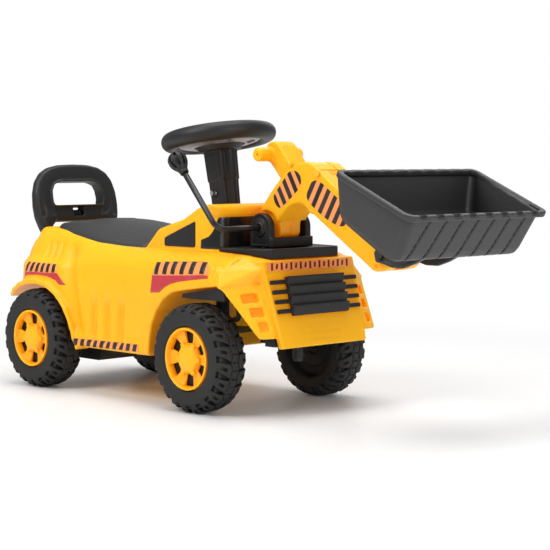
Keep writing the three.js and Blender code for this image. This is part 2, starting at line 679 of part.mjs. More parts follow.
// extruded from the top section, then the lower end is moved to the smaller foot section
function steeringColumn() {
  const top = columnSection(18, 17.5, 9);
  const foot = columnSection(15.5, 14.5, 8);
  const geometry = extrude(top, 1);
  const position = geometry.attributes.position;
  for (let i = 0; i < position.count; i++) {
    if (position.getZ(i) > 0.5) {
      position.setZ(i, COLUMN_TOP);
    } else {
      const corner = top.findIndex(([x, y]) =>
        Math.hypot(x - position.getX(i), y - position.getY(i)) < 0.001);
      position.setXYZ(i, ...foot[corner], COLUMN_FOOT);
    }
  }
  return manifold(geometry)
    .subtract(latheUp([[0, -200], [4.4, -200], [4.4, 10], [0, 10]], 16))
    .subtract(barY(CROSS_SCREW, -40, 40, 2.3, 10));
}
add("steering_column", atSteerWheel(steeringColumn()), "black");
const columnScrew = headedPin(CROSS_SCREW, -19.5, 19.6, {
  radius: 1.9,
  segments: 10,
  headRadius: 3.4,
  headLength: 2.9,
});
add("column_screw", atSteerWheel(columnScrew), "steel");
const columnNut = barY(CROSS_SCREW, 17.9, 20.6, 3.6, 6)
  .subtract(barY(CROSS_SCREW, 15, 25, 2.15, 10));
add("column_nut", atSteerWheel(columnNut), "steel");

// steel rod down the column, cranked to the rear at the foot
const KNEE_Z = 112;
const CRANK_X = onColumn(98)[0] - STEER_ARM;
function steeringRod() {
  const intoHub = 1.2; // past the wheel's centre
  const top = [
    STEER_CENTRE[0] - Math.sin(COLUMN_ANGLE) * intoHub,
    0,
    STEER_CENTRE[2] + Math.cos(COLUMN_ANGLE) * intoHub,
  ];
  const path = [top, onColumn(KNEE_Z), [CRANK_X, 0, KNEE_Z - 4], [CRANK_X, 0, 92]];
  return bentRod(path, 3.8, 7, 8)
    .subtract(atSteerWheel(barY(CROSS_SCREW, -10, 10, 2.3, 10)));
}
add("steering_rod", steeringRod(), "steel");

// ---------- knuckles, kingpins, stub axles and tie rod ----------
const TIE_X = AXLE_X - STEER_ARM;
const KNUCKLE_R = 9;
const KINGPIN_BORE_R = 4.25;

function knuckle(side) {
  const y = side * KINGPIN_Y;
  return barZ([AXLE_X, y], 55, 112, KNUCKLE_R, 12)
    .add(barY([AXLE_X, WHEEL_R], y, side * 85.6, KNUCKLE_R))
    .add(prismXY(ring(TIE_X, y, 6, 10), 90, 95.6))
    .add(box(TIE_X, AXLE_X - 4, y - 5.5, y + 5.5, 90, 95.6))
    .subtract(barZ([AXLE_X, y], 40, 130, KINGPIN_BORE_R))
    .subtract(barZ([TIE_X, y], 80, 100, 3.1, 12))
    .subtract(barY([AXLE_X, WHEEL_R], side * 76.2, side * 95, 4.2, 10));
}
for (const side of [1, -1]) {
  const name = sideName(side);
  const at = [AXLE_X, side * KINGPIN_Y];
  add(`knuckle_${name}`, knuckle(side), "black");
  const kingpin = barZ(at, 51.8, 54.6, 7, 12).add(barZ(at, 54.5, 150, 3.8));
  add(`kingpin_${name}`, kingpin, "steel");
  const stub = barY([AXLE_X, WHEEL_R], side * 76.6, side * 127, 3.8, 10);
  add(`stub_axle_${name}`, stub, "steel");
}

function tieRod() {
  const halfBar = 5;
  const rear = TIE_X - halfBar;
  const front = TIE_X + halfBar;
  const plan = [
    [rear, -KINGPIN_Y], [rear, -24], [CRANK_X - 6, -9], [CRANK_X - 9, 0], [CRANK_X - 6, 9],
    [rear, 24], [rear, KINGPIN_Y], [TIE_X, KINGPIN_Y + 5.5], [front, KINGPIN_Y],
    [front, -KINGPIN_Y], [TIE_X, -KINGPIN_Y - 5.5],
  ];
  let tie = prismXY(plan, 96, 100.4);
  for (const side of [-1, 1]) tie = tie.add(barZ([TIE_X, side * KINGPIN_Y], 87.6, 98, 2.6, 12));
  return tie.subtract(barZ([CRANK_X, 0], 90, 110, 4.9, 12));
}
add("tie_rod", tieRod(), "black");

// ---------- axle supports ----------
// [x, z]: top plate, sloping web and front crossbar, then the plate's outer ends
const BRACKET_SECTION = [
  [137, 148], [137, 153.6], [180, 161], [221, 167], [236, 164.5], [278, 104], [281, 97.5],
  [281, 91], [226, 91], [226, 96], [266, 96.5], [268, 102], [229, 156.5], [221, 158.6],
  [180, 153], [180, 148],
];
const BRACKET_END = [[137, 148], [137, 153.6], [180, 161], [221, 167], [221, 148]];
const WHEEL_ROOM = [[205, 80], [262, 80], [262, 147.5], [205, 147.5]]; // for the turned wheels

function frontAxleBracket() {
  let bracket = prismXZ(BRACKET_SECTION, -75, 75).add(prismPair(BRACKET_END, 74, 108));
  for (const side of [-1, 1]) {
    const at = [AXLE_X, side * KINGPIN_Y];
    bracket = bracket
      .add(barZ(at, 113.2, 155, KNUCKLE_R, 12))
      .subtract(barZ(at, 100, 150.6, KINGPIN_BORE_R));
  }
  return bracket.subtract(prismPair(WHEEL_ROOM, 50, 120));
}
add("front_axle_bracket", frontAxleBracket(), "black");

// [x, z]: tall middle block, and the lower wider one
const HOUSING_TALL = [
  [-205, 46], [-205, 98], [-196, 104], [-196, 145], [-152, 145], [-152, 104], [-140, 98],
  [-101, 92], [-101, 46], [-108, 39], [-198, 39],
];
const HOUSING_WIDE = [
  [-205, 46], [-205, 98], [-140, 98], [-101, 92], [-101, 46], [-108, 39], [-198, 39],
];
const REAR_AXLE = [-AXLE_X, WHEEL_R];
const rearAxleHousing = prismXZ(HOUSING_TALL, -40, 40)
  .add(prismXZ(HOUSING_WIDE, -62, 62))
  .add(barY(REAR_AXLE, -84, 84, 12))
  .subtract(barY(REAR_AXLE, -90, 90, 4.3, 10));
add("rear_axle_housing", rearAxleHousing, "black");
add("rear_axle", barY(REAR_AXLE, -127, 127, 3.9, 10), "steel");

// ---------- wheels ----------
// drawn at the origin with +Y outward; profiles are [radius, y]
const LUGS = 14;
const LUG_DEPTH = 4.5; // tread groove depth
const LUG_SHARE = 0.66; // part of the pitch taken by a lug
const TYRE_ENVELOPE = [ // takes off the shoulders
  [0, -TYRE_HALF_W], [66, -TYRE_HALF_W], [74, -TYRE_HALF_W + 11],
  [74, TYRE_HALF_W - 11], [66, TYRE_HALF_W], [0, TYRE_HALF_W],
];
const RIM_PROFILE = [
  [40.9, 12.6], [40.9, TYRE_HALF_W], [37, TYRE_HALF_W - 0.4], [32.5, 17.4], [18, 15.8],
  [15, TYRE_HALF_W - 2.4], [9, TYRE_HALF_W - 0.2], [0, TYRE_HALF_W], [0, TYRE_HALF_W - 3],
  [12, TYRE_HALF_W - 4.6], [12, 12.6],
];
const PUSH_NUT = [[4.2, 9.4], [7.5, 9.4], [7.5, 11.2], [4.2, 11.2]];
const polar = (radius, angle) => [radius * Math.cos(angle), radius * Math.sin(angle)];

function treadOutline() {
  const halfLug = (Math.PI / LUGS) * LUG_SHARE;
  const lugR = WHEEL_R / Math.cos(halfLug);
  const grooveR = WHEEL_R - LUG_DEPTH;
  const points = [];
  for (let i = 0; i < LUGS; i++) {
    const angle = -Math.PI / 2 + (2 * Math.PI * i) / LUGS;
    points.push(
      polar(lugR, angle - halfLug),
      polar(lugR, angle + halfLug),
      polar(grooveR, angle + halfLug * 1.06),
      polar(grooveR, angle + (2 * Math.PI) / LUGS - halfLug * 1.06),
    );
  }
  return points;
}
// lugged outside, recessed on both sides, with a bored web between
const tyre = () =>
  prismXZ(treadOutline(), -TYRE_HALF_W, TYRE_HALF_W)
    .intersect(lathe(TYRE_ENVELOPE, LUGS).rotate([0, 180 / LUGS, 0]))
    .subtract(lathe([[0, 9], [41.9, 9], [41.9, 40], [0, 40]], 16))
    .subtract(lathe([[0, -40], [47, -40], [43, -12], [0, -12]], 12))
    .subtract(barY([0, 0], -40, 40, 4.25));
// outer cover with six openings
function wheelRim() {
  let rim = lathe(RIM_PROFILE, 16);
  for (let i = 0; i < 6; i++) {
    const angle = radians(30 + 60 * i);
    const opening = [
      polar(19.5, angle - 0.2), polar(32.4, angle - 0.3),
      polar(32.4, angle + 0.3), polar(19.5, angle + 0.2),
    ];
    rim = rim.subtract(prismXZ(opening, 5, 19.5));
  }
  return rim;
}
function addWheel(name, x, side) {
  const place = (solid) =>
    (side > 0 ? solid : solid.rotate([0, 0, 180])).translate([x, side * TRACK, WHEEL_R]);
  add(`${name}_tyre`, place(tyre()), "tyre");
  add(`${name}_rim`, place(wheelRim()), "yellow");
  add(`${name}_push_nut`, place(lathe(PUSH_NUT, 8)), "steel");
}
for (const [end, x] of [["front", AXLE_X], ["rear", -AXLE_X]]) {
  for (const side of [1, -1]) addWheel(`${end}_${sideName(side)}`, x, side);
}

// ---------- boom lever ----------
const KNOB = [136, LEVER_Y, 327];
const KNOB_PROFILE = [ // [radius, height along the lever]
  [0, -19], [5.5, -19], [6.5, -12], [11, -4], [13.2, 3], [12, 9], [7.5, 13.5], [0, 15],
];
// pivot shaft through yoke and boom, then bent back and up to the knob
const leverPath = [
  [BOOM_PIVOT_X, 43, BOOM_PIVOT_Z],
  [BOOM_PIVOT_X, LEVER_Y, BOOM_PIVOT_Z],
  [KNOB[0] + 7.2, LEVER_Y, KNOB[2] - 8.4],
];
add("lever_rod", bentRod(leverPath, 3.9, 14, 10), "rod");
const leverClip = barY(BOOM_PIVOT, 38.6, 41.4, 7).subtract(barY(BOOM_PIVOT, 30, 50, 4.2));
add("lever_clip", leverClip, "steel");

function leverKnob() {
  const direction = new THREE.Vector3(KNOB[0] - BOOM_PIVOT_X, 0, KNOB[2] - BOOM_PIVOT_Z);
  direction.normalize();
  const below = (distance) =>
    [KNOB[0] - direction.x * distance, LEVER_Y, KNOB[2] - direction.z * distance];
  return lathe(KNOB_PROFILE, 12, (geometry) => aimed(geometry, direction).translate(...KNOB))
    .subtract(rod(below(30), below(10.8), 4.25, 12));
}
add("lever_knob", leverKnob(), "black");

// ---------- boom ----------
const BOOM = [ // side outline, [x, z]
  [195, 247], [198, 256], [206.6, 271.3], [221, 288], [236.6, 303.5], [250, 314.5], [261.8, 321],
  [273, 326], [289, 327.6], [298, 325.6], [320, 311], [344.4, 294.1], [385, 263.5], [424, 233],
  [437, 220.5], [440.5, 210], [437, 200.5], [428.7, 195], [412, 192], [405.1, 192.8],
  [396.9, 198.4], [370, 215.6], [345.3, 231.4], [321.4, 246.9], [299.4, 261], [294.5, 260.5],
  [291, 265.5], [286.5, 270.3], [280, 273.3], [272.9, 274], [263, 272.6], [255, 269.2],
  [247.1, 263.1], [238, 254.6], [232.6, 248], [232, 233.4], [224, 223.8], [212, 220.4],
  [200, 224.5], [192.6, 233],
];
// hollow for the handle arm and the link, open along the upper rear edge
const BOOM_IN = [
  [196, 285], [228, 286], [243, 272], [256, 275], [272, 280.5], [284, 279], [296, 268],
  [322, 253], [370, 222], [400, 201.5], [409, 196.6], [426, 198.4], [436, 206], [437, 214],
  [428, 224], [383, 256.5], [342, 287.5], [328, 297.5], [324, 345], [230, 345],
];
// the hollow's width in three lengths: half width, then [x, z] outline
const HOLLOW_WIDTHS = [
  [17, [[180, 350], [180, 262], [258, 262], [258, 297], [252, 303], [252, 350]]],
  [10.4, [[250, 350], [250, 262], [306, 262], [306, 300], [319, 300], [319, 350]]],
  [14, [[291, 315], [291, 190], [460, 190], [460, 300], [328, 300], [312, 312]]],
];
const TONGUE_HALF_W = 18.2; // between the yoke cheeks
const TONGUE_RELIEF = [[180, 262], [212, 262], [236, 240], [236, 215], [180, 215]];
const TIP_HALF_GAP = 10.6;
const BOOM_SCREWS = [["rear", [252, 266.4]], ["front", [352, 235.4]]];
const SHELL_GAP = 0.15; // half the gap between the shells

function boom() {
  const widths = union(HOLLOW_WIDTHS.map(([half, outline]) => prismXZ(outline, -half, half)));
  let solid = prismXZ(BOOM, -BOOM_HALF_W, BOOM_HALF_W)
    .subtract(prismXZ(BOOM_IN, -BOOM_HALF_W, BOOM_HALF_W).intersect(widths))
    // slot at the tip for the bucket bracket's ears
    .subtract(barY(BUCKET_PIVOT, -TIP_HALF_GAP, TIP_HALF_GAP, 20.8, 14))
    .subtract(box(432, 460, -TIP_HALF_GAP, TIP_HALF_GAP, 180, 240));
  for (const [y0, y1] of [[-40, -TONGUE_HALF_W], [TONGUE_HALF_W, 40]]) {
    solid = solid
      .subtract(barY(BOOM_PIVOT, y0, y1, 22.8, 14))
      .subtract(prismXZ(TONGUE_RELIEF, y0, y1));
  }
  solid = solid
    .subtract(barY(BOOM_PIVOT, -40, 40, 4.2, 16))
    .subtract(barY(HANDLE_PIVOT, -40, 40, 3.5))
    .subtract(barY(BUCKET_PIVOT, -40, 40, 4));
  for (const [, at] of BOOM_SCREWS) {
    solid = solid.subtract(barY(at, -40, 26, 1.9, 10)).subtract(barY(at, -40, -25, 3.8, 10));
  }
  return solid;
}
const wholeBoom = boom();
for (const side of [1, -1]) {
  const [y0, y1] = side > 0 ? [SHELL_GAP, 60] : [-60, -SHELL_GAP];
  const shell = wholeBoom.intersect(box(150, 500, y0, y1, 150, 400));
  add(`boom_${sideName(side)}_shell`, shell, "yellow");
}
for (const [end, at] of BOOM_SCREWS) {
  const screw = headedPin(at, -25.4, 20, {
    radius: 1.6,
    segments: 10,
    headRadius: 3.4,
    headLength: 1.2,
  });
  add(`boom_screw_${end}`, screw, "steel");
}

// ---------- bucket handle and link ----------
const linkPin = ([x, z]) => [x + LINK_ARM[0], z + LINK_ARM[1]];
const REAR_LINK_PIN = linkPin(HANDLE_PIVOT);
const FRONT_LINK_PIN = linkPin(BUCKET_PIVOT);
const LINK_HALF = 3; // half width and half thickness of the link bar
const HANDLE_GRIP = [208.5, 337.5];
const HANDLE = [ // side outline, [x, z]
  [201.5, 333], [200, 342], [202, 349], [207, 353.5], [214, 354.8], [222, 354], [228, 349],
  [253, 319.5], [262, 320.4], [273, 325.4], [289, 327], [297.6, 325], [312, 315.4], [316, 311],
  [317, 303], [309, 295.6], [302, 293.2], [292, 295.5], [278, 300.5], [262, 303],
  [246, 302.5], [231, 302.2], [219, 316], [206, 329.5],
];
const LINK_SLOT = [
  [292, 285], [292, 304], [297, 306.7], [302, 306.9], [330, 309.1], [330, 285],
];

// T shape: crossbar at the rear, neck down to the pivot inside the boom
function bucketHandle() {
  const widths = box(180, 248, -16, 16, 280, 400).add(box(240, 340, -9.6, 9.6, 280, 400));
  let handle = prismXZ(HANDLE, -20.4, 20.4)
    .intersect(widths)
    .add(barY(HANDLE_GRIP, -39, 39, 9.2));
  for (const side of [-1, 1]) {
    handle = handle.subtract(barY(HANDLE_GRIP, side * 34, side * 45, 1.6, 8));
  }
  return handle
    .subtract(barY(HANDLE_PIVOT, -40, 40, 3.6))
    .subtract(prismXZ(LINK_SLOT, -5, 5))
    .subtract(barY(REAR_LINK_PIN, -5, 5, 5.8, 16))
    .subtract(barY(REAR_LINK_PIN, -30, 30, 2.9));
}
add("bucket_handle", bucketHandle(), "yellow");
const handlePin = headedPin(HANDLE_PIVOT, -27.4, 28.6, { radius: 3.2, headRadius: 5 });
add("bucket_handle_pin", handlePin, "steel");

// straight bar with an eye at each end and a cross pin through each eye
function tiltLink() {
  const [rearX, rearZ] = REAR_LINK_PIN;
  const [frontX, frontZ] = FRONT_LINK_PIN;
  const along = new THREE.Vector2(frontX - rearX, frontZ - rearZ).normalize();
  const acrossX = -along.y * LINK_HALF;
  const acrossZ = along.x * LINK_HALF;
  const outline = [
    [rearX + acrossX, rearZ + acrossZ], [rearX - acrossX, rearZ - acrossZ],
    [frontX - acrossX, frontZ - acrossZ], [frontX + acrossX, frontZ + acrossZ],
  ];
  let link = prismXZ(outline, -LINK_HALF, LINK_HALF);
  for (const at of [REAR_LINK_PIN, FRONT_LINK_PIN]) {
    link = link.add(barY(at, -LINK_HALF, LINK_HALF, 5)).add(barY(at, -10.4, 10.4, 2.4, 8));
  }
  return link;
}
add("tilt_link", tiltLink(), "steel");

// ---------- bucket ----------
// tapered tray, pitched forward: side outline and its hollow, [x, z]
const BUCKET = [
  [441, 318], [435.4, 311], [434.6, 266], [437.5, 257.5], [446, 251], [492, 221.4],
  [503, 215.6], [514, 212.6], [521, 214.4], [527, 221], [549, 259], [556, 266.6],
];
const BUCKET_IN = [
  [446, 330], [438.6, 311], [437.6, 267.5], [440, 260], [448, 253.8], [494, 224.4],
  [504, 218.8], [513, 216], [518.6, 217.4], [524, 223.4], [546, 261.5], [562, 283],
];
const LIP_REAR = [441, 318];
const LIP_FRONT = [555.6, 266.6];
// block that widens upwards from z 205
const bucketTaper = (lowHalf, topHalf, top) =>
  prismYZ([[-topHalf, top], [topHalf, top], [lowHalf, 205], [-lowHalf, 205]], 400, 600);

// block along the sloping lip, grown past it all round, from `up` above it to `down` below
function lipBlock(grow, halfWidth, up, down) {
  const drop = (LIP_REAR[1] - LIP_FRONT[1]) / (LIP_FRONT[0] - LIP_REAR[0]);
  const lipZ = (x) => LIP_REAR[1] - (x - LIP_REAR[0]) * drop;
  const rear = LIP_REAR[0] - grow;
  const front = LIP_FRONT[0] + grow;
  return hull(withTwins([
    [rear, -halfWidth, lipZ(rear) + up],
    [front, -halfWidth, lipZ(front) + up],
    [rear - down * 0.3, -halfWidth, lipZ(rear) - down],
    [front - down * 0.42, -halfWidth, lipZ(front) - down],
  ]));
}
function bucket() {
  const hollow = prismAcross(BUCKET_IN).intersect(bucketTaper(110.3, 125.4, 330));
  const flange = lipBlock(3.5, 129.6, 0, 7)
    .subtract(lipBlock(-3.6, 122.8, 6, 20))
    .subtract(hollow);
  return prismAcross(BUCKET)
    .intersect(bucketTaper(113.5, 127.4, 320))
    .subtract(hollow)
    .add(flange);
}
add("bucket", bucket(), "grey");

// point under the bucket's sloping bottom: distance down the slope, distance off it
function underBucket(down, off) {
  const run = 46;
  const fall = 29.6;
  const length = Math.hypot(run, fall);
  return [
    446 + (run * down - fall * off) / length,
    250.6 - (fall * down + run * off) / length,
  ];
}
// plate on the bottom, two ears inside the boom tip and two cheeks outside it
function bucketBracket() {
  const nearPivot = (points) => points.map(([x, z]) => [BUCKET_PIVOT[0] + x, BUCKET_PIVOT[1] + z]);
  const plate = [
    underBucket(2, 0.4), underBucket(56, 0.4), underBucket(56, 4), underBucket(2, 4),
  ];
  const ear = [
    underBucket(0, 3), underBucket(40, 3), underBucket(38, 14),
    ...nearPivot([
      [15, -9], [6, -15], [-8, -17], [-14, -12], [-12, 4], [-2, 12], [10, 22],
    ]),
  ];
  const cheek = [
    underBucket(0, 3), underBucket(62, 1), underBucket(62, 6),
    [480, 205], [462, 199], [444, 199],
    ...nearPivot([[4, -11], [-8, -9], [-11, 2], [-6, 9], [6, 18]]),
  ];
  return prismXZ(plate, -52, 52)
    .add(prismPair(ear, 4.2, 9.2))
    .add(prismPair(cheek, 28.4, 33))
    .subtract(barY(BUCKET_PIVOT, -50, 50, 3.6))
    .subtract(barY(FRONT_LINK_PIN, -9.6, 9.6, 2.9));
}
add("bucket_bracket", bucketBracket(), "grey");
const bucketPin = headedPin(BUCKET_PIVOT, -34.8, 35.4, { radius: 3.3, headRadius: 5.2 });
add("bucket_pivot_pin", bucketPin, "steel");

export default root;
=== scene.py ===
import math
import bmesh
import bpy
import numpy as np
from mathutils import Matrix, Vector
from mathutils.bvhtree import BVHTree


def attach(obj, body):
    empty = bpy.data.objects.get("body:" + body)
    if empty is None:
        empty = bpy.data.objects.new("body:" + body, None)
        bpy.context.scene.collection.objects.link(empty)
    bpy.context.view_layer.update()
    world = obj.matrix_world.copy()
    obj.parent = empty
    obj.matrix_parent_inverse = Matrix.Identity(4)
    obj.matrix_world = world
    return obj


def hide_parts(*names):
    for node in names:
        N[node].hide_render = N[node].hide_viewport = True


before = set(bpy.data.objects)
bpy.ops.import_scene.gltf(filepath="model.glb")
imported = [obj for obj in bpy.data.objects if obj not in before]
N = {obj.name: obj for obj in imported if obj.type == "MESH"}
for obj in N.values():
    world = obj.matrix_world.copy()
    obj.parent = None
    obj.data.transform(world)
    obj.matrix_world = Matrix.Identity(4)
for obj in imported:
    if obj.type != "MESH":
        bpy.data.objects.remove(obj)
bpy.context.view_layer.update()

OX = 146.72  # drawings below are in mm with x = 0 midway between the axles; the frame's origin is OX further on
f32 = np.float32


# ---------------------------------------------------------------- distance fields
def grid(lo, hi, h):
    ax = [np.arange(a, b + h, h, dtype=f32) for a, b in zip(lo, hi)]
    return ax[0][:, None, None], ax[1][None, :, None], ax[2][None, None, :]


def poly(U, V, pts):
    """signed distance to a closed outline, negative inside"""
    U, V = np.broadcast_arrays(np.asarray(U, f32), np.asarray(V, f32))
    d2 = np.full(U.shape, 1e12, f32)
    inside = np.zeros(U.shape, bool)
    n = len(pts)
    for i in range(n):
        (ax, ay), (bx, by) = pts[i], pts[(i + 1) % n]
        ex, ey = bx - ax, by - ay
        L = ex * ex + ey * ey
        if L < 1e-9:
            continue
        t = np.clip(((U - ax) * ex + (V - ay) * ey) / L, 0, 1)
        dx, dy = U - ax - t * ex, V - ay - t * ey
        d2 = np.minimum(d2, dx * dx + dy * dy)
        c = (ay > V) != (by > V)
        if abs(ey) > 1e-9:
            inside ^= c & (U < ax + (V - ay) * ex / ey)
    d = np.sqrt(d2)
    return np.where(inside, -d, d).astype(f32)


def soft(F, n, axes=None):
    """n passes of a small blur along every axis that has a length: rounds edges in and out"""
    for _ in range(n):
        for a in range(F.ndim):
            if F.shape[a] < 3 or (axes is not None and a not in axes):
                continue
            G = F.copy()
            s = [slice(None)] * F.ndim
            m, p, q = list(s), list(s), list(s)
            m[a], p[a], q[a] = slice(1, -1), slice(2, None), slice(None, -2)
            G[tuple(m)] = 0.5 * F[tuple(m)] + 0.25 * (F[tuple(p)] + F[tuple(q)])
            F = G
    return F


def smin(a, b, k):
    if k <= 0:
        return np.minimum(a, b)
    h = np.maximum(k - np.abs(a - b), 0) / k
    return np.minimum(a, b) - h * h * (k * 0.25)


def smax(a, b, k):
    return -smin(-a, -b, k)


def hull_planes(P):
    P = np.array(P, float)
    out = []
    n = len(P)
    for i in range(n):
        for j in range(i + 1, n):
            for k in range(j + 1, n):
                m = np.cross(P[j] - P[i], P[k] - P[i])
                L = np.linalg.norm(m)
                if L < 1e-6:
                    continue
                m /= L
                d = P @ m - P[i] @ m
                if d.max() < 1e-4:
                    out.append((*m, P[i] @ m))
                elif d.min() > -1e-4:
                    out.append((*-m, -(P[i] @ m)))
    uniq = []
    for o in out:
        if not any(np.allclose(o, u, atol=1e-3) for u in uniq):
            uniq.append(o)
    return uniq


def hull_d(X, Y, Z, planes):
    F = None
    for a, b, c, d in planes:
        g = (f32(a) * X + f32(b) * Y) + (f32(c) * Z - f32(d))
        F = g if F is None else np.maximum(F, g)
    return F


def capsule(X, Y, Z, a, b, r):
    a, b = np.array(a, float), np.array(b, float)
    e = b - a
    L = float(e @ e)
    px, py, pz = X - a[0], Y - a[1], Z - a[2]
    t = np.clip((px * e[0] + py * e[1] + pz * e[2]) / L, 0, 1)
    return np.sqrt((px - t * e[0]) ** 2 + (py - t * e[1]) ** 2 + (pz - t * e[2]) ** 2) - r


def boxd(X, Y, Z, lo, hi, r=0.0):
    c = [(a + b) / 2 for a, b in zip(lo, hi)]
    s = [(b - a) / 2 - r for a, b in zip(lo, hi)]
    q = [np.abs(P - m) - k for P, m, k in zip((X, Y, Z), c, s)]
    out = np.sqrt(np.maximum(q[0], 0) ** 2 + np.maximum(q[1], 0) ** 2 + np.maximum(q[2], 0) ** 2)
    return out + np.minimum(np.maximum(np.maximum(q[0], q[1]), q[2]), 0) - r


class Field:
    def __init__(self, lo, hi, h):
        self.lo, self.h = np.array(lo, float), h
        self.X, self.Y, self.Z = grid(lo, hi, h)
        self.F = np.full((self.X.shape[0], self.Y.shape[1], self.Z.shape[2]), 1e3, f32)

    def part(self, lo, hi):
        s = []
        for a in range(3):
            i = int(max(0, math.floor((lo[a] - self.lo[a]) / self.h)))
            j = int(min(self.F.shape[a], math.ceil((hi[a] - self.lo[a]) / self.h) + 1))
            s.append(slice(i, max(i + 1, j)))
        return tuple(s), self.X[s[0]], self.Y[:, s[1]], self.Z[:, :, s[2]]

    def join(self, lo, hi, fn, k=0, cut=False, pad=6):
        """fn(X, Y, Z) joined to, or cut from, the field inside a box"""
        lo2, hi2 = [a - pad - k for a in lo], [b + pad + k for b in hi]
        s, X, Y, Z = self.part(lo2, hi2)
        G = fn(X, Y, Z)
        self.F[s] = smax(self.F[s], -G, k) if cut else smin(self.F[s], G, k)


def surface(F, lo, h, relax=2):
    """quads and points of the zero level of F"""
    ins = F < 0
    c = ins.astype(np.uint8)
    S = sum(c[i:c.shape[0] - 1 + i, j:c.shape[1] - 1 + j, k:c.shape[2] - 1 + k] for i in (0, 1) for j in (0, 1) for k in (0, 1))
    act = (S > 0) & (S < 8)
    idx = np.argwhere(act)
    ids = np.full(act.shape, -1, np.int32)
    ids[act] = np.arange(len(idx), dtype=np.int32)
    corners = [(i, j, k) for i in (0, 1) for j in (0, 1) for k in (0, 1)]
    vals = {q: F[idx[:, 0] + q[0], idx[:, 1] + q[1], idx[:, 2] + q[2]] for q in corners}
    acc = np.zeros((len(idx), 3))
    cnt = np.zeros(len(idx))
    for q in corners:
        for a in range(3):
            if q[a]:
                continue
            p = list(q)
            p[a] = 1
            va, vb = vals[q], vals[tuple(p)]
            cr = (va < 0) != (vb < 0)
            t = np.zeros(len(idx))
            t[cr] = va[cr] / (va[cr] - vb[cr])
            e = np.tile(np.array(q, float), (len(idx), 1))
            e[:, a] += t
            acc[cr] += e[cr]
            cnt += cr
    P = idx + acc / cnt[:, None]
    quads = []
    for a in range(3):
        b, d = (a + 1) % 3, (a + 2) % 3
        sl0, sl1 = [slice(None)] * 3, [slice(None)] * 3
        sl0[a], sl1[a] = slice(0, -1), slice(1, None)
        x0, x1 = ins[tuple(sl0)], ins[tuple(sl1)]
        for flip, m in ((False, x0 & ~x1), (True, ~x0 & x1)):
            E = np.argwhere(m)
            E = E[(E[:, b] > 0) & (E[:, d] > 0) & (E[:, b] < F.shape[b] - 1) & (E[:, d] < F.shape[d] - 1)]
            q = []
            for ob, od in ((-1, -1), (0, -1), (0, 0), (-1, 0)):
                K = E.copy()
                K[:, b] += ob
                K[:, d] += od
                q.append(ids[K[:, 0], K[:, 1], K[:, 2]])
            q = np.stack(q, 1)
            quads.append(q[:, ::-1] if flip else q)
    Q = np.concatenate(quads)
    Q = Q[(Q >= 0).all(1)]
    for _ in range(relax):
        nb = np.zeros_like(P)
        n = np.zeros(len(P))
        for i in range(4):
            a, b = Q[:, i], Q[:, (i + 1) % 4]
            for x in range(3):
                nb[:, x] += np.bincount(a, P[b, x], len(P))
            n += np.bincount(a, minlength=len(P))
            for x in range(3):
                nb[:, x] += np.bincount(b, P[a, x], len(P))
            n += np.bincount(b, minlength=len(P))
        P = P + 0.5 * (nb / np.maximum(n, 1)[:, None] - P)
    return P * h + lo, Q


def mesh_of(name, V, Q, smooth=True):
    me = bpy.data.meshes.new(name)
    Q = np.asarray(Q, np.int32)
    m, k = Q.shape
    me.vertices.add(len(V))
    me.vertices.foreach_set("co", np.asarray(V, f32).ravel())
    me.loops.add(m * k)
    me.loops.foreach_set("vertex_index", Q.ravel())
    me.polygons.add(m)
    me.polygons.foreach_set("loop_start", np.arange(0, m * k, k, dtype=np.int32))
    me.update(calc_edges=True)
    me.validate()
    me.polygons.foreach_set("use_smooth", np.full(len(me.polygons), smooth))
    return me


def place(V):
    V = np.asarray(V, float).copy()
    V[:, 0] -= OX
    return V * 0.001


def piece(name, me, mat, body, rep=()):
    o = bpy.data.objects.new(name, me)
    bpy.context.scene.collection.objects.link(o)
    me.materials.clear()
    me.materials.append(mat)
    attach(o, body)
    if rep:
        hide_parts(*rep)
    return o


def from_field(name, fl, mat, body, rep=(), relax=2, move=None):
    F = fl.F
    lo = fl.lo.copy()
    F = np.pad(F, 1, constant_values=50.0)
    lo -= fl.h
    V, Q = surface(F, lo, fl.h, relax)
    if move is not None:
        V = move(V)
    return piece(name, mesh_of(name, place(V), Q), mat, body, rep)


def prism(name, pts, axis, a, b, mat, body, rep=(), bevel=0.0, fn=None, smooth=False, seg=2):
    """closed prism of an outline: axis 'y' takes (x, z) points, 'z' (x, y), 'x' (y, z)"""
    bm = bmesh.new()
    put = {"y": lambda p, t: (p[0], t, p[1]), "z": lambda p, t: (p[0], p[1], t), "x": lambda p, t: (t, p[0], p[1])}[axis]
    A = [bm.verts.new(put(p, a)) for p in pts]
    B = [bm.verts.new(put(p, b)) for p in pts]
    bm.faces.new(A)
    bm.faces.new(B[::-1])
    for i in range(len(pts)):
        j = (i + 1) % len(pts)
        bm.faces.new((A[i], B[i], B[j], A[j]))
    bmesh.ops.recalc_face_normals(bm, faces=bm.faces)
    for v in bm.verts:
        p = fn(v.co) if fn else v.co
        v.co = ((p[0] - OX) * 0.001, p[1] * 0.001, p[2] * 0.001)
    me = bpy.data.meshes.new(name)
    bm.to_mesh(me)
    bm.free()
    o = piece(name, me, mat, body, rep)
    if bevel:
        edge(o, bevel, seg)
    return o


def edge(o, w, seg=2, angle=32):
    m = o.modifiers.new("edge", "BEVEL")
    m.width = w * 0.001
    m.segments = seg
    m.limit_method = "ANGLE"
    m.angle_limit = math.radians(angle)
    m.harden_normals = False
    for p in o.data.polygons:
        p.use_smooth = False
    n = o.modifiers.new("shade", "WEIGHTED_NORMAL")
    n.keep_sharp = False
    o.data.polygons.foreach_set("use_smooth", np.full(len(o.data.polygons), True))
    return o


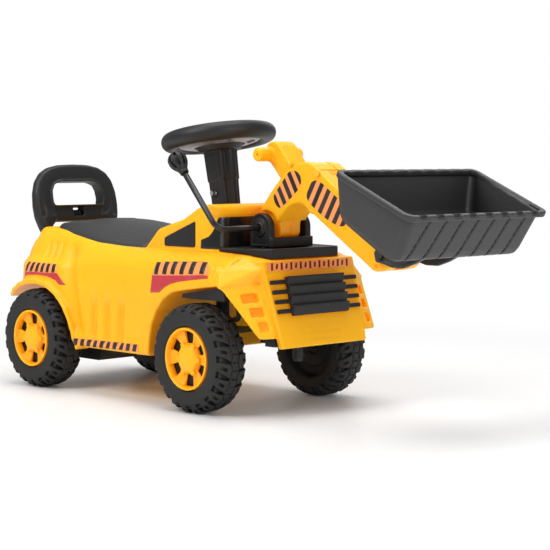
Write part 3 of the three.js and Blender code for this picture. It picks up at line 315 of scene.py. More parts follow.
def lathe(name, prof, seg, at, direction, mat, body, rep=()):
    """profile of (radius, height), from the axis to the axis, turned about direction"""
    V, Q = [], []
    rows = []
    for r, h in prof:
        if r < 1e-6:
            rows.append([len(V)])
            V.append((0, 0, h))
        else:
            rows.append(list(range(len(V), len(V) + seg)))
            V += [(r * math.cos(2 * math.pi * k / seg), r * math.sin(2 * math.pi * k / seg), h) for k in range(seg)]
    me = bpy.data.meshes.new(name)
    for A, B in zip(rows, rows[1:]):
        for k in range(seg):
            l = (k + 1) % seg
            if len(A) == 1:
                Q.append((A[0], B[k], B[l]))
            elif len(B) == 1:
                Q.append((A[k], B[0], A[l]))
            else:
                Q.append((A[k], B[k], B[l], A[l]))
    R = Vector((0, 0, 1)).rotation_difference(Vector(direction)).to_matrix()
    W = [R @ Vector(v) + Vector(at) for v in V]
    me.from_pydata([((w.x - OX) * 0.001, w.y * 0.001, w.z * 0.001) for w in W], [], Q)
    me.update()
    bm = bmesh.new()
    bm.from_mesh(me)
    bmesh.ops.recalc_face_normals(bm, faces=bm.faces)
    bm.to_mesh(me)
    bm.free()
    me.polygons.foreach_set("use_smooth", np.full(len(me.polygons), True))
    return piece(name, me, mat, body, rep)


# ---------------------------------------------------------------- materials
def lin(c):
    return tuple(((v / 255) / 12.92 if v / 255 <= 0.04045 else ((v / 255 + 0.055) / 1.055) ** 2.4) for v in c) + (1.0,)


def moulded(name, rgb, rough=0.4, grain=0.12, grain_scale=1400, vary=0.05, wear=(1.0, 1.0, 1.0), wear_amt=0.1, spec=0.5, coat=0.0, metal=0.0, streak=0.05, even=False, painted_shade_reach=0.0, subsurface_and_painted_glow=0.0, painted_glow=0.16):
    """moulded plastic: fine grain, slow colour drift, scuffed edges and faint handling streaks; an occlusion reach adds
    painted shade in creases and hollows, orange on the subsurface plastic, which also gets a painted orange glow there
    """
    m = bpy.data.materials.new(name)
    m.use_nodes = True
    t = m.node_tree
    t.nodes.clear()
    n = t.nodes.new
    L = t.links.new
    out = n("ShaderNodeOutputMaterial")
    b = n("ShaderNodeBsdfPrincipled")
    L(b.outputs[0], out.inputs[0])
    tc = n("ShaderNodeTexCoord")
    big = n("ShaderNodeTexNoise")
    big.inputs["Scale"].default_value = 9
    big.inputs["Detail"].default_value = 3
    L(tc.outputs["Object"], big.inputs["Vector"])
    fine = n("ShaderNodeTexNoise")
    fine.inputs["Scale"].default_value = grain_scale
    fine.inputs["Detail"].default_value = 2
    L(tc.outputs["Object"], fine.inputs["Vector"])
    mp = n("ShaderNodeMapping")
    mp.inputs["Scale"].default_value = (30, 30, 420)
    mp.inputs["Rotation"].default_value = (0.3, 0.5, 0.2)
    L(tc.outputs["Object"], mp.inputs["Vector"])
    st = n("ShaderNodeTexNoise")
    st.inputs["Scale"].default_value = 2.2
    st.inputs["Detail"].default_value = 4
    L(mp.outputs[0], st.inputs["Vector"])
    base = lin(rgb)
    dark = tuple(c * (1 - vary) for c in base[:3]) + (1,)
    lite = tuple(min(1, c * (1 + vary * 0.6)) for c in base[:3]) + (1,)
    mix = n("ShaderNodeMix")
    mix.data_type = "RGBA"
    ramp = n("ShaderNodeMapRange")
    ramp.inputs["From Min"].default_value = 0.3
    ramp.inputs["From Max"].default_value = 0.7
    L(big.outputs[0], ramp.inputs[0])
    L(ramp.outputs[0], mix.inputs[0])
    mix.inputs[6].default_value = dark
    mix.inputs[7].default_value = lite
    geo = n("ShaderNodeNewGeometry")
    pr = n("ShaderNodeMapRange")
    pr.inputs["From Min"].default_value = 0.53
    pr.inputs["From Max"].default_value = 0.62
    pr.inputs["To Max"].default_value = wear_amt
    L(geo.outputs["Pointiness"], pr.inputs[0])
    mul = n("ShaderNodeMath")
    mul.operation = "MULTIPLY"
    L(pr.outputs[0], mul.inputs[0])
    L(ramp.outputs[0], mul.inputs[1])
    mx2 = n("ShaderNodeMix")
    mx2.data_type = "RGBA"
    L(mul.outputs[0], mx2.inputs[0])
    L(mix.outputs[2], mx2.inputs[6])
    mx2.inputs[7].default_value = (*wear, 1)
    # painted shade: where ambient occlusion finds nearby surfaces, in creases, recesses and inside hollows, the colour
    # is mixed toward a shaded tone
    if painted_shade_reach:
        occ = n("ShaderNodeAmbientOcclusion")
        occ.samples = 6
        occ.inputs["Distance"].default_value = painted_shade_reach
        pw = n("ShaderNodeMath")
        pw.operation = "POWER"
        L(occ.outputs["AO"], pw.inputs[0])
        pw.inputs[1].default_value = 1.3
        painted_shade_mix = n("ShaderNodeMix")
        painted_shade_mix.data_type = "RGBA"
        L(pw.outputs[0], painted_shade_mix.inputs[0])
        # the painted shade tone: the colour at 0.12, or a deeper orange on the subsurface plastic
        painted_shade_mix.inputs[6].default_value = (base[0] * 0.12, base[1] * 0.12, base[2] * 0.12, 1) if not subsurface_and_painted_glow else (base[0], base[1] * 0.66, 0.0, 1)
        L(mx2.outputs[2], painted_shade_mix.inputs[7])
        L(painted_shade_mix.outputs[2], b.inputs["Base Color"])
        if subsurface_and_painted_glow:
            # painted glow: an orange emission, strongest where occlusion is deepest, standing in for light passed
            # through the yellow plastic into its recesses
            painted_glow_strength = n("ShaderNodeMath")
            painted_glow_strength.operation = "MULTIPLY_ADD"
            L(occ.outputs["AO"], painted_glow_strength.inputs[0])
            painted_glow_strength.inputs[1].default_value = -painted_glow
            painted_glow_strength.inputs[2].default_value = painted_glow
            b.inputs["Emission Color"].default_value = (1.0, 0.17, 0.0, 1)
            L(painted_glow_strength.outputs[0], b.inputs["Emission Strength"])
    else:
        L(mx2.outputs[2], b.inputs["Base Color"])
    if subsurface_and_painted_glow:
        b.inputs["Subsurface Weight"].default_value = subsurface_and_painted_glow
        b.inputs["Subsurface Radius"].default_value = (1.0, 0.28, 0.02)
        b.inputs["Subsurface Scale"].default_value = 0.014
    rr = n("ShaderNodeMapRange")
    rr.inputs["From Min"].default_value = 0.35
    rr.inputs["From Max"].default_value = 0.7
    rr.inputs["To Min"].default_value = rough
    rr.inputs["To Max"].default_value = rough + (0.015 if even else 0.1)
    L(st.outputs[0], rr.inputs[0])
    ad = n("ShaderNodeMath")
    ad.operation = "MULTIPLY_ADD"
    L(big.outputs[0], ad.inputs[0])
    ad.inputs[1].default_value = streak
    L(rr.outputs[0], ad.inputs[2])
    L(ad.outputs[0], b.inputs["Roughness"])
    bp = n("ShaderNodeBump")
    bp.inputs["Strength"].default_value = grain
    bp.inputs["Distance"].default_value = 0.0003
    L(fine.outputs[0], bp.inputs["Height"])
    L(bp.outputs[0], b.inputs["Normal"])
    b.inputs["Specular IOR Level"].default_value = spec
    b.inputs["Metallic"].default_value = metal
    if coat:
        b.inputs["Coat Weight"].default_value = coat
        b.inputs["Coat Roughness"].default_value = 0.15
    return m


# materials given an occlusion reach get painted shade in their creases and hollows; the grey's long reach darkens the
# inside of the bucket
M = {
    # the yellow's painted shade is orange, and it also gets a painted orange glow in its recesses
    "yellow": moulded("yellow_plastic", (255, 184, 8), 0.36, 0.06, 1500, 0.03, (1.0, 0.80, 0.32), 0.12, 0.36, painted_shade_reach=0.035, subsurface_and_painted_glow=0.35),
    "black": moulded("black_plastic", (27, 27, 28), 0.42, 0.14, 1300, 0.10, (0.12, 0.12, 0.12), 0.35, 0.42, painted_shade_reach=0.03),
    "gloss": moulded("gloss_black_plastic", (25, 26, 27), 0.20, 0.015, 900, 0.06, (0.12, 0.12, 0.12), 0.25, 0.5, streak=0.0, even=True),
    "tyre": moulded("tyre_plastic", (36, 36, 36), 0.55, 0.22, 1100, 0.12, (0.14, 0.14, 0.135), 0.45, 0.34, painted_shade_reach=0.025),
    "grey": moulded("grey_plastic", (53, 53, 54), 0.40, 0.14, 1200, 0.07, (0.19, 0.19, 0.19), 0.4, 0.42, painted_shade_reach=0.09),
    "under": moulded("underside_grey", (106, 107, 109), 0.25, 0.05, 900, 0.06, (0.4, 0.4, 0.4), 0.25, 0.6),
    "seat": moulded("seat_plastic", (46, 46, 47), 0.36, 0.20, 1700, 0.08, (0.15, 0.15, 0.15), 0.3, 0.5),
    "steel": moulded("zinc_steel", (178, 180, 184), 0.28, 0.05, 600, 0.08, (0.8, 0.8, 0.8), 0.3, 0.5, metal=1.0),
    "rod": moulded("black_steel", (29, 29, 31), 0.26, 0.03, 800, 0.08, (0.2, 0.2, 0.2), 0.35, 0.55, metal=0.3),
    "peach": moulded("sticker_peach", (250, 152, 78), 0.32, 0.03, 700, 0.04, (1, 0.8, 0.6), 0.1, 0.45),
    "red": moulded("sticker_red", (192, 50, 60), 0.32, 0.03, 700, 0.05, (0.9, 0.5, 0.5), 0.1, 0.45),
    "maroon": moulded("sticker_maroon", (90, 22, 18), 0.34, 0.03, 700, 0.05, (0.4, 0.2, 0.2), 0.1, 0.42),
    "ink": moulded("sticker_ink", (32, 24, 22), 0.36, 0.03, 700, 0.05, (0.2, 0.2, 0.2), 0.1, 0.42),
}

# ---------------------------------------------------------------- body shell
LEV = [58, 100, 150, 181, 186, 198, 207, 214, 224, 236, 300]
STA = [
    (-262, [62, 66, 70, 69, 62, 59, 57, 55, 54, 53, 52]),
    (-252, [88, 90, 91, 89, 80, 78, 75, 73, 71, 69, 67]),
    (-236, [101, 103, 105, 103, 92, 89, 82, 80, 78, 75, 73]),
    (-221, [112, 114, 114, 111, 101, 98, 92, 89, 83, 79, 77]),
    (-205, [121, 123, 122, 117, 107, 101, 97, 94, 88, 82, 79]),
    (-150, [121, 124, 124, 119, 110, 104, 100, 97, 91, 84, 79]),
    (-112, [121, 123, 122, 117, 112, 105, 100, 96, 89, 82, 77]),
    (-60, [121, 121, 118, 114, 113, 107, 100, 93, 85, 78, 73]),
    (0, [121, 121, 118, 115, 114, 108, 99, 90, 83, 76, 71]),
    (60, [121, 121, 120, 117, 116, 111, 100, 89, 83, 77, 72]),
    (110, [121, 122, 122, 121, 120, 114, 100, 89, 84, 78, 74]),
    (170, [121, 122, 124, 122, 120, 112, 99, 88, 84, 78, 74]),
    (205, [121, 122, 126, 121, 118, 109, 96, 86, 82, 76, 74]),
    (232, [121, 121, 127, 121, 118, 108, 92, 82, 78, 76, 74]),
]


def half_width(X, Z):
    xs = [s[0] for s in STA]
    x, z = X[:, 0, 0], Z[0, 0, :]
    rows = np.stack([np.interp(x, xs, [s[1][j] for s in STA]) for j in range(len(LEV))])
    out = np.zeros((len(x), len(z)), f32)
    for i in range(len(x)):
        out[i] = np.interp(z, LEV, rows[:, i])
    return out[:, None, :]


def bump(t, c, w):
    return np.exp(-(((t - c) / w) ** 2))


def step(t, a, b):
    u = np.clip((t - a) / (b - a), 0, 1)
    return u * u * (3 - 2 * u)


SIDE = [
    (-248, 133), (-256, 150), (-256, 177), (-249, 179.5), (-249, 195), (-242, 197.5), (-242, 213.5), (-222, 214), (-221, 226), (-214, 232),
    (-156, 229.5), (-110, 222), (-65, 215), (0, 211), (36, 209.5), (150, 212), (232, 205.5), (266, 200.6), (298, 90.5), (292, 88), (232, 66), (-248, 66),
]
SIDE_IN = [
    (-240, 120), (-252, 150), (-252, 174), (-245, 176), (-245, 192), (-238, 194), (-238, 210), (-218, 210.5), (-217, 222), (-212, 228),
    (-156, 225.8), (-110, 218.3), (-65, 211.3), (0, 207.4), (36, 206), (150, 208), (232, 201.6), (262.5, 197), (294, 89), (292, 40), (-240, 40),
]
FRONT_ARCH = [(77.5, 40), (80, 70), (82, 88), (87, 110), (97, 129), (113, 146), (132.5, 156), (180, 163), (226, 169), (238, 165), (284, 103), (286, 98), (289, 84), (289, 40)]
FRONT_OUT = [(74, 40), (76.5, 70), (78.5, 89), (84, 112), (94.5, 131.5), (111, 149), (131.5, 159.3), (180, 166.5), (227, 172.5), (241, 168), (288, 104.5), (289.6, 98), (292.8, 84), (292.8, 40)]
REAR_ARCH = [(-83, 40), (-86, 68), (-90, 76), (-95, 97), (-106, 118), (-124, 136), (-148, 147), (-174, 149.5), (-200, 147.5), (-224, 141), (-247, 132), (-262, 124), (-300, 118), (-300, 40)]
REAR_OUT = [(-79.5, 40), (-82.5, 68), (-86.5, 76), (-91.6, 98), (-103, 120.3), (-122, 139), (-147, 150.4), (-174, 153), (-201, 151), (-225, 144.5), (-248, 135.6), (-300, 130), (-300, 40)]
COWL = [(30, 200), (34, 209.6), (49, 224.4), (62, 237.1), (88, 244.5), (113, 250.9), (128, 259), (142, 266.3), (156, 271), (170, 272.5), (178, 269), (181, 257), (182, 212), (182, 195), (30, 195)]
COWL_IN = [(36, 190), (40, 205), (52, 221), (64, 233.5), (90, 241), (114, 247.2), (130, 255.6), (143, 262.6), (157, 267.4), (169, 268.8), (174.8, 266.5), (177.6, 256), (178.4, 212), (178, 190)]
TILT = math.radians(9.5)
COL = (93.0, 337.0)


def on_col(z):
    return (COL[0] - (z - COL[1]) * math.tan(TILT), 0.0, z)


def plan(r, w, x1, x0=-60):
    pts = [(x0, -w), (x1 - r, -w)]
    for k in range(1, 12):
        a = k * math.pi / 24
        pts.append((x1 - r + r * math.sin(a), -w + r - r * math.cos(a)))
    pts += [(x1, -w + r), (x1, w - r)]
    for k in range(1, 12):
        a = k * math.pi / 24
        pts.append((x1 - r + r * math.cos(a), w - r + r * math.sin(a)))
    pts += [(x1 - r, w), (x0, w)]
    return pts


def make_body():
    h = 1.6
    fl = Field((-272, -140, 56), (304, 140, 280), h)
    X, Y, Z = fl.X, fl.Y, fl.Z
    A = np.abs(Y)
    W = half_width(X, Z)
    nb = max(1, int(round(4 * (1.7 / h) ** 2)))
    W = soft(W, nb * 2)
    # soft vertical flutes on the rear quarter, the valley behind the rear arch and shallow flutes low on the side panel
    up = step(Z, 180, 190) * (1 - step(Z, 204, 220))
    for c in (-172, -156, -140):
        W = W - 3.4 * bump(X + (Z - 190) * 0.10, c, 4.6) * up
    xv = -108 + (190 - Z) * 0.30
    W = W - 7.2 * bump(X, xv, 12.0) * step(Z, 80, 96) * (1 - step(Z, 190, 220))
    low = step(Z, 72, 84) * (1 - step(Z, 122, 150))
    for c in (-44, -14, 18):
        W = W - 6.0 * bump(X, c, 7.0) * low
    # the lowest strip of the side stays flat for its sticker
    W = W + 1.2 * (1 - step(Z, 84, 87)) * step(X, -84, -78) * (1 - step(X, 64, 70))
    side = poly(X, Z, SIDE)
    side = soft(side, nb)
    arch_f = poly(X, Z, FRONT_ARCH)
    arch_r = poly(X, Z, REAR_ARCH)
    gx, gz = np.gradient(W[:, 0, :], h)
    steep = np.sqrt(1 + gx * gx + gz * gz)[:, None, :]
    D = (A - W) / steep
    F = smax(smax(side + 0 * Y, D, 7), X - 232 + 0 * Y + 0 * Z, 3)
    skin = np.array(F)
    fl.F = np.ascontiguousarray(F.astype(f32))

    def hull2(pts, k=3.0, cut=False, pad=6, infl=0.0):
        for s in (1, -1):
            P = [(x, s * y, z) for x, y, z in pts]
            pl = hull_planes(P)
            lo = [min(p[a] for p in P) for a in range(3)]
            hi = [max(p[a] for p in P) for a in range(3)]
            fl.join(lo, hi, lambda x, y, z: hull_d(x, y, z, pl) - infl, k, cut, pad)

    nose = [(180, 84, 207), (180, -84, 207), (266, 84, 200.6), (266, -84, 200.6), (298, 77.2, 90.5), (298, -77.2, 90.5), (285, 77, 88), (285, -77, 88), (180, 84, 88), (180, -84, 88)]
    pl = hull_planes(nose)
    fl.join((180, -84, 88), (298, 84, 207), lambda x, y, z: hull_d(x, y, z, pl), 2.0)
    hull2([(196, 60, 207.5), (196, 84, 207), (232, 80, 206), (262, 66, 202), (205, 116, 193), (266, 82, 192), (258, 98, 172), (226, 121, 190), (205, 126, 168), (238, 132, 169), (200, 60, 165), (205, 124, 160), (262, 66, 165)], 2.5)
    hull2([(236, 132, 169), (257, 98, 171), (266, 80, 171), (285, 108, 103), (293, 85, 104), (290, 78, 104), (218, 120, 169), (222, 132, 166), (277, 108, 103), (220, 80, 169), (277, 80, 103)], 1.5)
    # two round pillars on the fender side
    for s in (1, -1):
        for c, y1 in ((209.5, 125.0), (220.5, 126.5)):
            fl.join((c - 6, min(s * 112, s * 131), 166), (c + 6, max(s * 112, s * 131), 194), lambda x, y, z: capsule(x, y * s, z, (c, y1 - 5.2, 175.5), (c, y1 - 8.8, 189), 5.2), 1.2)
    # cowl
    Xc = X
    c2 = soft(poly(X, Z, COWL), nb)
    pz = poly(X, Y, plan(26, 90, 182))
    wid = A - (90 - (Z - 190) * (4.0 / 85))
    C = smax(smax(c2 + 0 * Y, pz + 0 * Z, 4), wid, 4)
    fl.F = smin(fl.F, C, 3)
    # hollow inside
    Wi = W - 3.4
    cav = np.maximum(np.maximum(poly(X, Z, SIDE_IN) + 0 * Y, A - Wi + 0 * X), np.where(Z > 120, skin + 3.2, -99))
    cav = np.maximum(cav, np.maximum(X - 224, -252 - X))
    ni = hull_planes([(190, 74, 197), (190, -74, 197), (262.2, 76, 193), (262.2, -76, 193), (294.2, 74, 88), (294.2, -74, 88), (294, 74, 40), (294, -74, 40), (190, 80.5, 40), (190, -80.5, 40)])
    cav = np.minimum(cav, hull_d(X, Y, Z, ni))
    fo = poly(X, Z, FRONT_OUT)
    ro = poly(X, Z, REAR_OUT)
    cav = np.maximum(cav, -fo)
    cav = np.maximum(cav, -ro)
    tray = boxd(X, Y, Z, (-189, -61, 154), (-9, 61, 260), 3)
    cav = np.maximum(cav, -tray)
    ci = np.maximum(np.maximum(poly(X, Z, COWL_IN) + 0 * Y, poly(X, Y, plan(23, 87, 178.6)) + 0 * Z), A - (86.5 - (Z - 180) * (4.4 / 95)))
    cav = np.minimum(cav, ci)
    F = fl.F
    F = smax(F, -cav, 0.8)
    del cav, C, ci
    # mudguard lip round the rear arch: stands out from the side and runs on to a point behind
    path = [(-84.5, 66, 121.5), (-88, 78, 123.5), (-93.5, 96, 125.5), (-104, 117, 127), (-121, 136.5, 128), (-146, 150.5, 128), (-174, 154, 127), (-200, 151.5, 125), (-224, 145, 121), (-246, 136.5, 115), (-262, 129.5, 107.5)]
    for sgn in (1, -1):
        lip = None
        for (x0, z0, y0), (x1, z1, y1) in zip(path, path[1:]):
            ex, ez, ey = x1 - x0, z1 - z0, y1 - y0
            L2 = ex * ex + ez * ez
            lo_, hi_ = (min(x0, x1) - 14, min(sgn * 84, sgn * 136), min(z0, z1) - 14), (max(x0, x1) + 14, max(sgn * 84, sgn * 136), max(z0, z1) + 14)
            tail = 1.0 if x0 > -215 else max(0.45, 1 - (-215 - x0) / 70)

            def seg_fn(x, y, z, x0=x0, z0=z0, y0=y0, ex=ex, ez=ez, ey=ey, L2=L2, tail=tail):
                t = np.clip(((x - x0) * ex + (z - z0) * ez) / L2, 0, 1)
                dx, dz, yy = x - x0 - t * ex, z - z0 - t * ez, y * sgn - (y0 + t * ey)
                rad_ = np.sqrt(dx * dx + dz * dz)
                q1, q2 = rad_ - 3.4 * tail, np.abs(yy + 11) - 10.5
                return np.sqrt(np.maximum(q1, 0) ** 2 + np.maximum(q2, 0) ** 2) + np.minimum(np.maximum(q1, q2), 0) - 1.6
            fl.join(lo_, hi_, seg_fn, 2.2)
    F = fl.F
    # wheel arches
    F = smax(F, -soft(arch_f, 1) + 0 * Y, 3.2)
    F = smax(F, -soft(arch_r, 1) + 0 * Y, 3.2)
    F = smax(F, -boxd(X, Y, Z, (-186, -58, 157), (-12, 58, 262), 4), 1.2)
    fl.F = F
    # ladder steps pressed into the front legs
    dx, dz = 36 / 77, -68 / 77
    for i in range(3):
        t0 = 12 + i * 20
        t1 = t0 + 12.5
        y0, y1 = 90.5 - i * 0.6, 110 - i * 4.6
        q = []
        for t in (t0, t1):
            for off in (-2.4 + 0.6 * i, 9):
                x, z = 254.5 + dx * t + off * 0.86, 169 + dz * t + off * 0.45
                q += [(x, y0, z), (x - (y1 - y0) * 0.42, y1, z)]
        hull2(q, 1.0, True)
    # recess for the wrap-around screen and the side windows
    fl.join((150, -96, 212), (186, 96, 257), lambda x, y, z: np.maximum(np.maximum(-(poly(x, y, plan(26, 90, 182)) + 2.6) + 0 * z, np.abs(z - 234.2) - 21.9), 150.5 - x), 0.8, True)
    win = [(76, 214), (76, 226), (140, 250), (140, 214)]
    fl.join((74, -96, 212), (142, 96, 252), lambda x, y, z: np.maximum(soft(poly(x, z, win), 1) + 0 * y, 86.2 - np.abs(y)), 0.6, True)
    # steering column passage
    a, b = on_col(120), on_col(300)
    fl.join((90, -30, 140), (140, 30, 280), lambda x, y, z: capsule(x, y, z, a, b, 7), 0.5, True)
    a2 = on_col(246)
    fl.join((75, -30, 222), (140, 30, 280), lambda x, y, z: np.maximum(capsule(x, y, z, on_col(200), on_col(320), 24.8), 225 - z), 1.5, True)
    # seat hinge lugs
    lug = [(29, 224), (29, 233), (33, 236.5), (38, 236.5), (58, 238), (70, 236), (52, 222), (40, 211)]
    for s in (1, -1):
        fl.join((28, min(s * 11.5, s * 19), 208), (70, max(s * 11.5, s * 19), 240), lambda x, y, z: np.maximum(soft(poly(x, z, lug), 2) + 0 * y, np.abs(y * s - 15.25) - 3.75), 1.5)
    fl.join((20, -11.5, 214), (46, 11.5, 242), lambda x, y, z: boxd(x, y, z, (19, -11.5, 214), (46, 11.5, 250)), 0.5, True)
    fl.join((30, -22, 226), (38, 22, 234), lambda x, y, z: capsule(x, y, z, (34, -30, 230), (34, 30, 230), 3.0), 0, True)
    # faint frame pressed on the lower fascia
    def frame_line(x, y, z):
        u = (200.6 - z) * 1.0
        d2 = np.abs(np.maximum(np.abs(y) - 33, np.abs(z - 104.5) - 4.5))
        face = (x - (266 + (200.6 - z) * (32 / 110.1))) * 0.96
        return np.maximum(d2 - 0.8, -(face + 0.5)) + 0 * x
    fl.join((280, -40, 98), (300, 40, 122), frame_line, 0.4, True, 2)
    return from_field("body_moulding", fl, M["yellow"], "body", ("body_shell",), relax=2)


body = make_body()
tree = None


def body_tree():
    me = body.data
    co = np.zeros(len(me.vertices) * 3, f32)
    me.vertices.foreach_get("co", co)
    return BVHTree.FromPolygons([tuple(v) for v in co.reshape(-1, 3)], [tuple(p.vertices) for p in me.polygons])

# ---------------------------------------------------------------- stickers laid on the shell
def decal(name, loops, y_side, mat, lift, tr, body_name="body", res=4.0, flat_y=None):
    """loops: outlines in X and Z; laid on the surface met from the side, as a thin film"""
    bm = bmesh.new()
    for pts in loops:
        f = bm.faces.new([bm.verts.new(((x - OX) * 0.001, 0, z * 0.001)) for x, z in pts])
    xs = [(x - OX) * 0.001 for l in loops for x, _ in l]
    zs = [z * 0.001 for l in loops for _, z in l]
    if flat_y is None:
        t = min(xs) + res * 0.001
        while t < max(xs):
            bmesh.ops.bisect_plane(bm, geom=bm.verts[:] + bm.edges[:] + bm.faces[:], plane_co=(t, 0, 0), plane_no=(1, 0, 0))
            t += res * 0.001
        t = min(zs) + res * 0.001
        while t < max(zs):
            bmesh.ops.bisect_plane(bm, geom=bm.verts[:] + bm.edges[:] + bm.faces[:], plane_co=(0, 0, t), plane_no=(0, 0, 1))
            t += res * 0.001
    top = {}
    dead = []
    for v in bm.verts:
        if flat_y is None:
            hit = tr.ray_cast(Vector((v.co.x, y_side * 0.25, v.co.z)), Vector((0, -y_side, 0)))
            if hit[0] is None or abs(hit[0].y) < 0.085:
                dead.append(v)
                continue
            v.co.y = hit[0].y
            n = hit[1]
            if n.y * y_side < 0:
                n = -n
            top[v] = n.copy()
        else:
            v.co.y = flat_y * 0.001
            top[v] = Vector((0, y_side, 0))
    if dead:
        bmesh.ops.delete(bm, geom=dead, context="VERTS")
    base = {v: v.co.copy() for v in bm.verts}
    bmesh.ops.recalc_face_normals(bm, faces=bm.faces)
    if bm.faces and sum(f.normal.y for f in bm.faces) * y_side < 0:
        bmesh.ops.reverse_faces(bm, faces=bm.faces)
    # film with a back: lift the front by `lift`, keep the back just under the surface
    old = list(bm.verts)
    dup = bmesh.ops.duplicate(bm, geom=bm.faces[:] + bm.edges[:] + bm.verts[:])
    vm = dup["vert_map"]
    pairs = [(v, vm[v]) for v in old if v in vm]
    back_faces = [g for g in dup["geom"] if isinstance(g, bmesh.types.BMFace)]
    bmesh.ops.reverse_faces(bm, faces=back_faces)
    rim = [e for e in bm.edges if len(e.link_faces) == 1 and e.verts[0] in top and e.verts[1] in top and e.verts[0] in vm]
    for v, w in pairs:
        n = top[v]
        v.co = base[v] + n * (lift * 0.001)
        w.co = base[v] - n * 0.0002
    for e in rim:
        a, b = e.verts
        f0 = e.link_faces[0]
        ls = [l for l in f0.loops if l.edge == e][0]
        p, q = ls.vert, ls.link_loop_next.vert
        try:
            bm.faces.new((q, p, vm[p], vm[q]))
        except ValueError:
            pass
    me = bpy.data.meshes.new(name)
    bm.to_mesh(me)
    bm.free()
    me.polygons.foreach_set("use_smooth", np.full(len(me.polygons), flat_y is None))
    return piece(name, me, mat, body_name)


def lerp(a, b, t):
    return (a[0] + (b[0] - a[0]) * t, a[1] + (b[1] - a[1]) * t)


def stripes(tl, tr_, br, bl, n, share=0.5, first=0.0, slant=0.0, inset=0.04):
    """n slanted stripes across a four-sided band; slant shifts each top forward by that many pitches"""
    out = []
    for i in range(n):
        a = (i + first) / n
        b = a + share / n
        s = slant / n
        ta, tb = min(max(a + s, 0), 1), min(max(b + s, 0), 1)
        ba, bb = min(max(a, 0), 1), min(max(b, 0), 1)
        if tb - ta < 0.2 * share / n or bb - ba < 0.2 * share / n:
            continue
        p = [lerp(tl, tr_, ta), lerp(tl, tr_, tb), lerp(bl, br, bb), lerp(bl, br, ba)]
        c = [lerp(lerp(tl, tr_, 0.5), lerp(bl, br, 0.5), 0.5)]
        q = []
        for k, u in enumerate(p):
            o = p[3 - k]
            q.append(lerp(u, o, inset))
        out.append(q)
    return out


T = body_tree()
for side, tag in ((-1, "right"), (1, "left")):
    # rear fender: peach band, red band that follows the arch, black slanted stripes
    rt, rt2, rm, rm2 = (-210.7, 181.7), (-133, 181.1), (-213.5, 166.8), (-128.2, 168.3)
    decal("rear_sticker_peach_" + tag, [[rt, rt2, rm2, rm]], side, M["peach"], 0.22, T)
    decal("rear_sticker_red_" + tag, [[rm, rm2, (-108.5, 152.2), (-120.5, 152.0), (-130, 158), (-148, 162.5), (-174, 164), (-200, 162.3), (-216, 159)]], side, M["red"], 0.22, T)
    decal("rear_sticker_stripes_" + tag, stripes(rt, rt2, rm2, rm, 6, 0.5, 0.10, 0.3), side, M["ink"], 0.42, T)
    # front fender
    decal("front_sticker_peach_" + tag, [[(92.5, 193.8), (112, 195.8), (136.7, 197.0), (165, 198.0), (187, 198.6), (197, 193.5), (203.6, 181.2), (192.9, 181.7), (88.0, 176.0)]], side, M["peach"], 0.22, T)
    decal("front_sticker_red_" + tag, [[(88.0, 176.0), (192.9, 181.7), (203.6, 181.2), (204, 177.9), (171.7, 174.2), (145.6, 170.5), (129.6, 167.0), (116.2, 161.5), (105.3, 154.2), (85.4, 152.9)]], side, M["red"], 0.22, T)
    st6 = [((97.9, 194.0), (96.8, 177.8)), ((115.6, 195.4), (115.5, 178.9)), ((131.8, 196.2), (132.2, 179.8)), ((149.0, 196.8), (150.8, 180.8)), ((167.1, 197.4), (169.6, 181.8)), ((186.3, 197.6), (189.8, 182.8))]
    decal("front_sticker_stripes_" + tag, [[(a[0] - 4.3, a[1]), (a[0] + 4.3, a[1]), (b[0] + 4.3, b[1]), (b[0] - 4.3, b[1])] for a, b in st6], side, M["ink"], 0.42, T)
    # lower band
    a, b, c, d = (-85.8, 78.2), (62.5, 81.0), (60.5, 70.2), (-88.6, 67.8)
    decal("lower_sticker_peach_" + tag, [[a, b, c, d]], side, M["peach"], 0.22, T)
    decal("lower_sticker_stripes_" + tag, stripes(a, b, c, d, 10, 0.54, 0.06, 0.14), side, M["ink"], 0.42, T)


